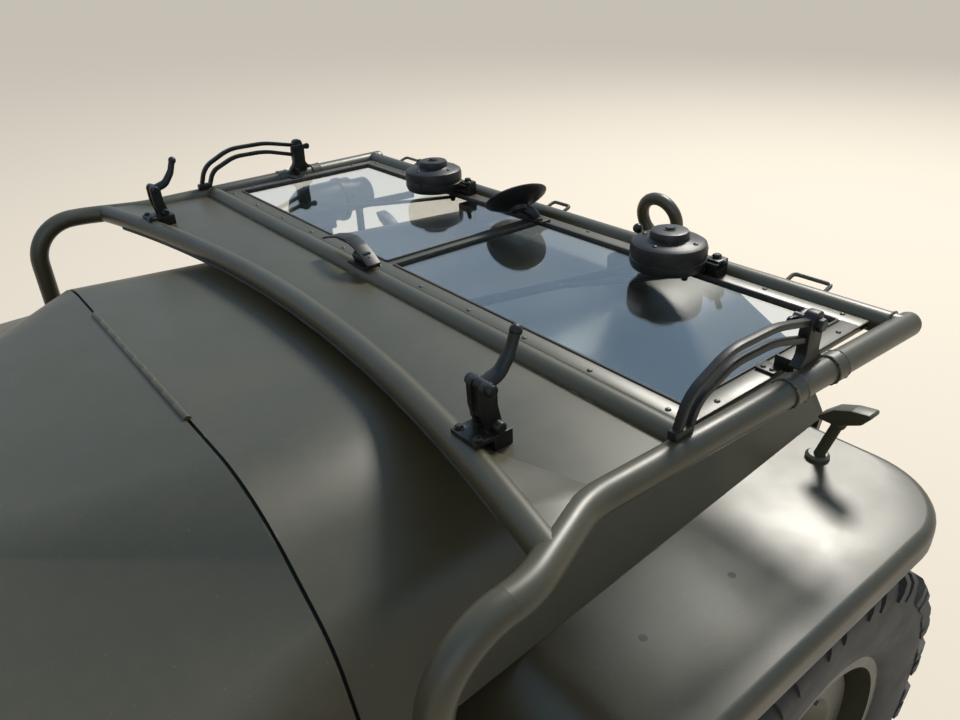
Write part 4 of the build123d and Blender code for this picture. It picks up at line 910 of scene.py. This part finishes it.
def tow_bar():
    """Stowed A-shaped bar with its round ring, clamp blocks, brace and bolts."""
    s = Shape("tow_bar")
    pivot, eye = Vector((1655, 0, 612)), Vector((1568, 0, 1008))
    aside = Vector((0, 1, 0))
    lean = (eye - pivot).normalized()
    facing = lean.cross(aside).normalized()
    rows = []
    for c, d in circle(1, 48):
        out = aside * c + lean * d
        rows.append([eye + out * (44 + u) + facing * v for u, v in circle(12.6, 18)])
    s.grid(rows, around=True, loop=True)
    sleeve = [(8.6, -35.5), (14, -35.5), (15, -34), (15, 10), (14, 11.5), (8.6, 11.5)]
    for side in (1, -1):
        foot = pivot + aside * side * 300
        tip = eye + aside * side * 30 - lean * 34
        s.tube([foot, tip], 12, 0, 22, (0, 5))
        s.tube([foot.lerp(tip, 0.84), foot.lerp(tip, 0.91)], 17.5, 0, 22, (2, 2))
        s.lathe(sleeve, foot, (0, side, 0), 28, True)
    low = pivot.lerp(eye, 0.42)
    s.tube([low - aside * 176, low + aside * 176], 9, 0, 16)
    block = eye - lean * 52
    for side in (1, -1):
        s.nut(block - facing * 14 + aside * side * 20, -facing, 17, 9)
    s.tube([block - aside * 44, block + aside * 44], 15, 0, 18, (3, 3))
    s.piece("tow_bar_dressed", "tow_bar")


def bumper():
    """Channel bumper with closed ends, hinge ears and pins for the tow bar, and bolts."""
    s = Shape()
    section = [(1636, 450), (1675, 450), (1675, 580), (1636, 580)]
    section += [(1636, 574), (1669, 574), (1669, 456), (1636, 456)]
    s.prism(section, "y", (-560, 560), (0, 5, 5, 0, 0, 2, 2, 0), 0)
    for s.place in SIDES:
        s.box((1637, 1674), (556, 560), (451, 579), 1.5)
        for inner in (254, 312):
            ear = [(1633, 578), (1673, 578), (1669, 628), (1641, 628)]
            s.prism(ear, "y", (inner, inner + 10), (0, 0, 12, 12), 1.5)
        s.tube([(1655, 250, 612), (1655, 326, 612)], 8, 0, 18, (1, 1))
        s.nut((1655, 325, 612), "y", 20, 7)
        for y in (335, 355):
            for z in (485, 545):
                s.nut((1675, y, z), "x", 16, 4.9)
    s.piece("bumper_beam", "front_bumper")


# Wheels

def tyre_mesh():
    """Tyre about the origin: carcass with rim cushions and two staggered rows of slotted bar lugs."""
    s = Shape()
    side = [(57, 204.5), (60, 215), (66, 222), (71, 238), (75, 262), (77, 290), (77.5, 318), (74, 336)]
    side += [(68, 348), (60, 353), (30, 354), (4, 354)]
    full = [(r, -y) for y, r in side] + [(r, y) for y, r in reversed(side)]
    s.lathe(full, (0, 0, 0), "y", 120)
    first = asin(30 / TYRE_R)
    crown = [(6, -352), (6, -365.4), (40, -365.7), (56, -365), (56, -350)]
    shoulder = [(55, -350), (55, -364.8), (68, -363.5), (77, -354), (79.8, -338), (79.5, -322), (74, -322)]
    for end in (-1, 1):
        for index in range(LUGS):
            turn = first + (index + (0.5 if end < 0 else 0)) * 2 * pi / LUGS
            s.place = Matrix.Rotation(turn, 4, "Y") @ Matrix.Scale(end, 4, (0, 1, 0))
            lug_block(s, crown, 60, 54)
            for middle in (-18.5, 18.5):
                lug_block(s, shoulder, 23, 20, middle)
    bmesh.ops.remove_doubles(s.bm, verts=s.bm.verts, dist=0.00001)
    bmesh.ops.recalc_face_normals(s.bm, faces=s.bm.faces)
    return to_mesh(s.bm, "tyre_tread")


def lug_block(s, profile, foot, crest, middle=0):
    """One lug: a (side, height) profile across the tread, a little narrower at its crest."""
    low = min(z for _, z in profile)
    high = max(z for _, z in profile)
    rows = []
    for sign in (-1, 1):
        wide = [foot + (crest - foot) * (high - z) / (high - low) for _, z in profile]
        rows.append([(middle + sign * w / 2, y, z) for w, (y, z) in zip(wide, profile)])
    s.grid(rows, around=True, caps=True)


def tyres():
    mesh = tyre_mesh()
    spare_low, spare_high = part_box("tyre_spare")
    middle = (spare_low + spare_high) / 2
    places = [("tyre_" + name, Matrix.Translation(Vector(at) * MM), "wheel_" + name) for name, at, _ in WHEELS]
    places.append(("tyre_spare", Matrix.Translation(middle) @ Matrix.Rotation(pi / 2, 4, "Z"), "chassis"))
    for node, place, body in places:
        copy = mesh.copy()
        copy.transform(place)
        dress(placed(node + "_tread", copy), body, "tyre_rubber", node, 34)


def wheel_nuts():
    """Five nuts and a valve on each wheel, and five nuts on the spare."""
    for name, (x, y, z), side in WHEELS:
        s = Shape("wheel_" + name)
        for i in range(5):
            a = 2 * pi * i / 5 + 0.3
            at = (x + NUT_CIRCLE * cos(a), y + side * 5, z + NUT_CIRCLE * sin(a))
            s.nut(at, (0, side, 0), 21, 13)
        s.tube([(x, y + side * 30, z + 176), (x, y + side * 58, z + 172)], 4, 0, 10, (0, 2))
        s.piece("wheel_nuts_" + name)
    s = Shape()
    low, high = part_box("rim_spare")
    at = (low + high) / 2 / MM
    for c, d in circle(NUT_CIRCLE, 5):
        s.nut((at.x - 6, at.y + c, at.z + d), (-1, 0, 0), 21, 13)
    s.piece("spare_nuts")


# Seats

def pad(name, size, at, lean, body, replaces):
    """One stuffed pad: a rounded block, swelled by a cloth simulation, with piping round its two edges."""
    bm = bmesh.new()
    bmesh.ops.create_cube(bm, size=1)
    block = Vector(size) - Vector((16, 16, 14))
    for v in bm.verts:
        v.co = v.co * block * MM
    bmesh.ops.bevel(bm, geom=list(bm.edges), offset=PAD_CORNER, segments=4, profile=0.5,
                    affect="EDGES", clamp_overlap=True)
    obj = placed(name, to_mesh(bm, name))
    remesh = obj.modifiers.new("remesh", "REMESH")
    remesh.mode = "VOXEL"
    remesh.voxel_size = PAD_VOXEL
    settle(obj)
    swell(obj)
    turn = Matrix.Translation(Vector(at) * MM) @ Matrix.Rotation(radians(lean), 4, "Y")
    obj.data.transform(turn)
    dress(obj, body, "canvas", replaces, 60)
    piping(obj, name, size, turn, body)


def swell(obj):
    """Cloth with inner pressure, each point's way capped, then applied."""
    rest = [v.co.copy() for v in obj.data.vertices]
    cloth = obj.modifiers.new("cloth", "CLOTH")
    cloth.settings.use_pressure = True
    cloth.settings.uniform_pressure_force = PAD_PRESSURE
    cloth.settings.effector_weights.gravity = 0
    cloth.settings.quality = 4
    cloth.point_cache.frame_start = 1
    cloth.point_cache.frame_end = PAD_FRAMES
    for step in range(1, PAD_FRAMES + 1):
        bpy.context.scene.frame_set(step)
    settle(obj)
    bpy.context.scene.frame_set(1)
    for v, start in zip(obj.data.vertices, rest):
        way = v.co - start
        if way.length > SWELL_CAP:
            v.co = start + way.normalized() * SWELL_CAP


def piping(obj, name, size, turn, body):
    """Sewn cord round the pad, laid on its surface."""
    tree = BVHTree.FromPolygons([v.co for v in obj.data.vertices], [p.vertices for p in obj.data.polygons])
    x, y, z = [length / 2 for length in size]
    s = Shape(body)
    for level in (14 - z, z - 14):
        loop = rounded([(-x, -y), (x, -y), (x, y), (-x, y)], 30, True, 5)
        ring = []
        for a, b in zip(loop, loop[1:] + loop[:1]):
            steps = max(1, int((b - a).length / 22))
            for k in range(steps):
                p = a.lerp(b, k / steps)
                ring.append(tree.find_nearest(turn @ (Vector((p.x, p.y, level)) * MM))[0] / MM)
        s.hoop(ring, [circle(2.8, 8)] * len(ring))
    s.piece(name + "_piping", "", "canvas")


def seats():
    lean_front = -degrees(atan2(100, 395))
    lean_rear = -degrees(atan2(80, 320))
    for name, y, body, node in (
        ("driver", 375, "chassis", "seat_cushions"),
        ("passenger", -375, "passenger_seat", "passenger_seat_cushions"),
    ):
        pad(name + "_seat_pad", (388, 384, 74), (-165, y, 727.6), 0, body, node)
        pad(name + "_back_pad", (54, 364, 288), (-431.7, y, 922), lean_front, body, node)
    pad("rear_seat_pad", (338, 924, 74), (-970, 0, 720.8), 0, "chassis", "seat_cushions")
    pad("rear_back_pad", (48, 864, 228), (-1187.5, 0, 880), lean_rear, "chassis", "seat_cushions")


# Load, tools and running gear

def jerrycan():
    """Pressed can with its cross pressing on both faces, three grips and cap."""
    s = Shape()
    low, high = [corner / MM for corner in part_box("jerrycan")]
    top = 1000
    x, y, z = (low.x + high.x) / 2, (low.y + high.y) / 2, (low.z + top) / 2
    s.box((low.x + 3, high.x - 3), (low.y, high.y), (low.z, top), 20)
    rib = [(-9, 0), (-6, 2.6), (0, 3), (6, 2.6), (9, 0), (0, -1)]
    for face_x in (low.x + 3, high.x - 3):
        for rise in (145, -145):
            s.sweep([(face_x, y - 110, z - rise), (face_x, y + 110, z + rise)], rib, None, (0, 0))
    for grip_x in (low.x + 40, x, high.x - 40):
        grip = [(y - 80, 995), (y - 80, 1028), (y + 70, 1028), (y + 70, 995)]
        s.tube([(grip_x, *at) for at in grip], 7, (16, 16), 14)
    s.lathe([(0, 30), (24, 30), (27, 26), (27, 6), (24, 0), (0, 0)], (x, high.y - 42, top - 6), "z", 28)
    s.box((x - 8, x + 8), (high.y - 76, high.y - 12), (top + 20, top + 27), 2)
    s.piece("jerrycan_pressed", "jerrycan")


def tools():
    """Shovel with its bent blade and grip, held by two straps on the left side."""
    low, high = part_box("tools")
    y = (low.y + high.y) / 2 / MM
    z = 640
    s = Shape()
    s.tube([(-330, y, z), (120, y, z)], 13, 0, 18)
    for rise in (16, -16):
        s.tube([(118, y, z), (150, y, z + rise)], 9, 0, 12)
    s.tube([(150, y, z - 40), (150, y, z + 40)], 12, 0, 16, (5, 5))
    s.piece("shovel_handle", "tools", "tool_wood")
    b = Shape()
    rows = []
    for i in range(11):
        t = i / 10
        half = 70 * (1 - 0.62 * (t - 0.55) ** 1.5 / 0.3) if t > 0.55 else 66 + 6 * t
        half = max(half, 6)
        rows.append([(-350 - 205 * t, y - 6 + 9 * (k / 6) ** 2, z + half * k / 6) for k in range(-6, 7)])
    b.grid(rows)
    b.piece("shovel_blade", limit=40, thick=2)
    c = Shape()
    c.tube([(-300, y, z), (-372, y - 3, z)], 15, 0, 16, (2, 4))
    strap = [(-13.5, -20), (14.5, -18), (14.5, 18), (-13.5, 20)]
    for x in (-230, 40):
        c.sweep([(x, y + a, z + b) for a, b in strap], rectangle(30, 2.2, 0.8), (1, 0, 0))
        c.box((x - 9, x + 9), (y + 11, y + 14.6), (z - 9, z + 9), 1)
    c.piece("tool_straps", "", "black_paint")


def running_gear():
    """U-bolts with their plates, and shock absorbers."""
    s = Shape()
    for s.place in SIDES:
        for axle_x, tilt in ((1150, -70), (-882, 70)):
            for x in (axle_x - 46, axle_x + 46):
                for y in (318, 372):
                    s.tube([(x, y, 300), (x, y, 402)], 6, 0, 10)
                    s.nut((x, y, 296), (0, 0, -1), 16, 8)
                s.tube([(x, 318, 402), (x, 372, 402)], 6, 0, 10, (3, 3))
            s.box((axle_x - 58, axle_x + 58), (312, 378), (291, 297), 2)
            s.tube([(axle_x + tilt * 0.3, 300, 322), (axle_x + tilt, 300, 440)], 22, 0, 20, (4, 4))
            s.tube([(axle_x + tilt, 300, 430), (axle_x + tilt * 1.35, 300, 500)], 14, 0, 16)
    s.piece("running_gear", "", "chassis_paint")


def cab_fittings():
    """Pedals, grab handles and studs on the body sides."""
    s = Shape()
    for y in (452, 372, 300):
        s.tube([(500, y, 640), (410, y, 672)], 6, 0, 10)
        s.box((398, 412), (y - 26, y + 26), (655, 700), 3)
    for s.place in SIDES:
        s.tube([(-560, 738, 775), (-560, 760, 775), (-470, 760, 775), (-470, 738, 775)], 6, (10, 10), 12)
        for x in (-1380, -1300):
            s.screw((x, 735, 800), "y", 6)
    s.piece("cab_fittings")


def stage_material():
    """Plain surface that keeps the object's shadow and that the camera, gloss and glass see evenly."""
    t = surface("stage_floor")
    shade = tuple(c * GROUND_LIT for c in GROUND)
    t.set(Base_Color=t.mix(t.noise(0.8, 3, 0.5), shade, tuple(c * 0.97 for c in shade)), Roughness=1)
    glow = t.times(t.seen(), GROUND_GLOW)
    t.set(Specular_IOR_Level=0, Emission_Color=GROUND, Emission_Strength=glow)
    return t.owner


def studio():
    """Pale floor, soft light and the photograph's camera."""
    bm = bmesh.new()
    bmesh.ops.create_grid(bm, x_segments=1, y_segments=1, size=60)
    ground = placed("floor_stage", to_mesh(bm, "floor_stage"))
    ground.location = (0, 0, -0.002)
    ground.data.materials.append(stage_material())

    scene = bpy.context.scene
    scene.world = bpy.data.worlds.new("studio_world")
    t = Tree(scene.world)
    climb = t.ramp(t.height(t.add("TexCoord").outputs["Generated"]), 0.02, 0.55)
    colour = t.mix(t.seen(), SOFT_LIGHT, t.mix(climb, HORIZON, SKY))
    background = t.add("Background", (("Color", colour), ("Strength", WORLD_STRENGTH)))
    t.add("OutputWorld", ((0, background.outputs[0]),))

    for name, at, size, watts, tint in LAMPS:
        data = bpy.data.lights.new(name, "AREA")
        data.size = size
        data.energy = watts
        data.color = tint
        lamp = placed(name, data)
        lamp.location = at
        lamp.rotation_euler = (Vector(AIM) - Vector(at)).to_track_quat("-Z", "Y").to_euler()

    data = bpy.data.cameras.new("camera")
    data.lens = LENS_MM
    data.sensor_width = SENSOR_MM
    camera = placed("camera", data)
    right, up = Vector(CAMERA_RIGHT), Vector(CAMERA_UP)
    back = right.cross(up).normalized()
    up = back.cross(right).normalized()
    right.normalize()
    turn = Matrix((right, up, back)).transposed().to_4x4()
    camera.matrix_world = Matrix.Translation(CAMERA_AT) @ turn
    scene.camera = camera
    scene.view_settings.view_transform = "Standard"


for build in (
    windshield, sash, quadrants, clamps, wipers, mirror, hood, cowl, fenders, lamps, tail_lamps, tow_bar,
    bumper, tyres, wheel_nuts, seats, jerrycan, tools, running_gear, cab_fittings, studio,
):
    build()
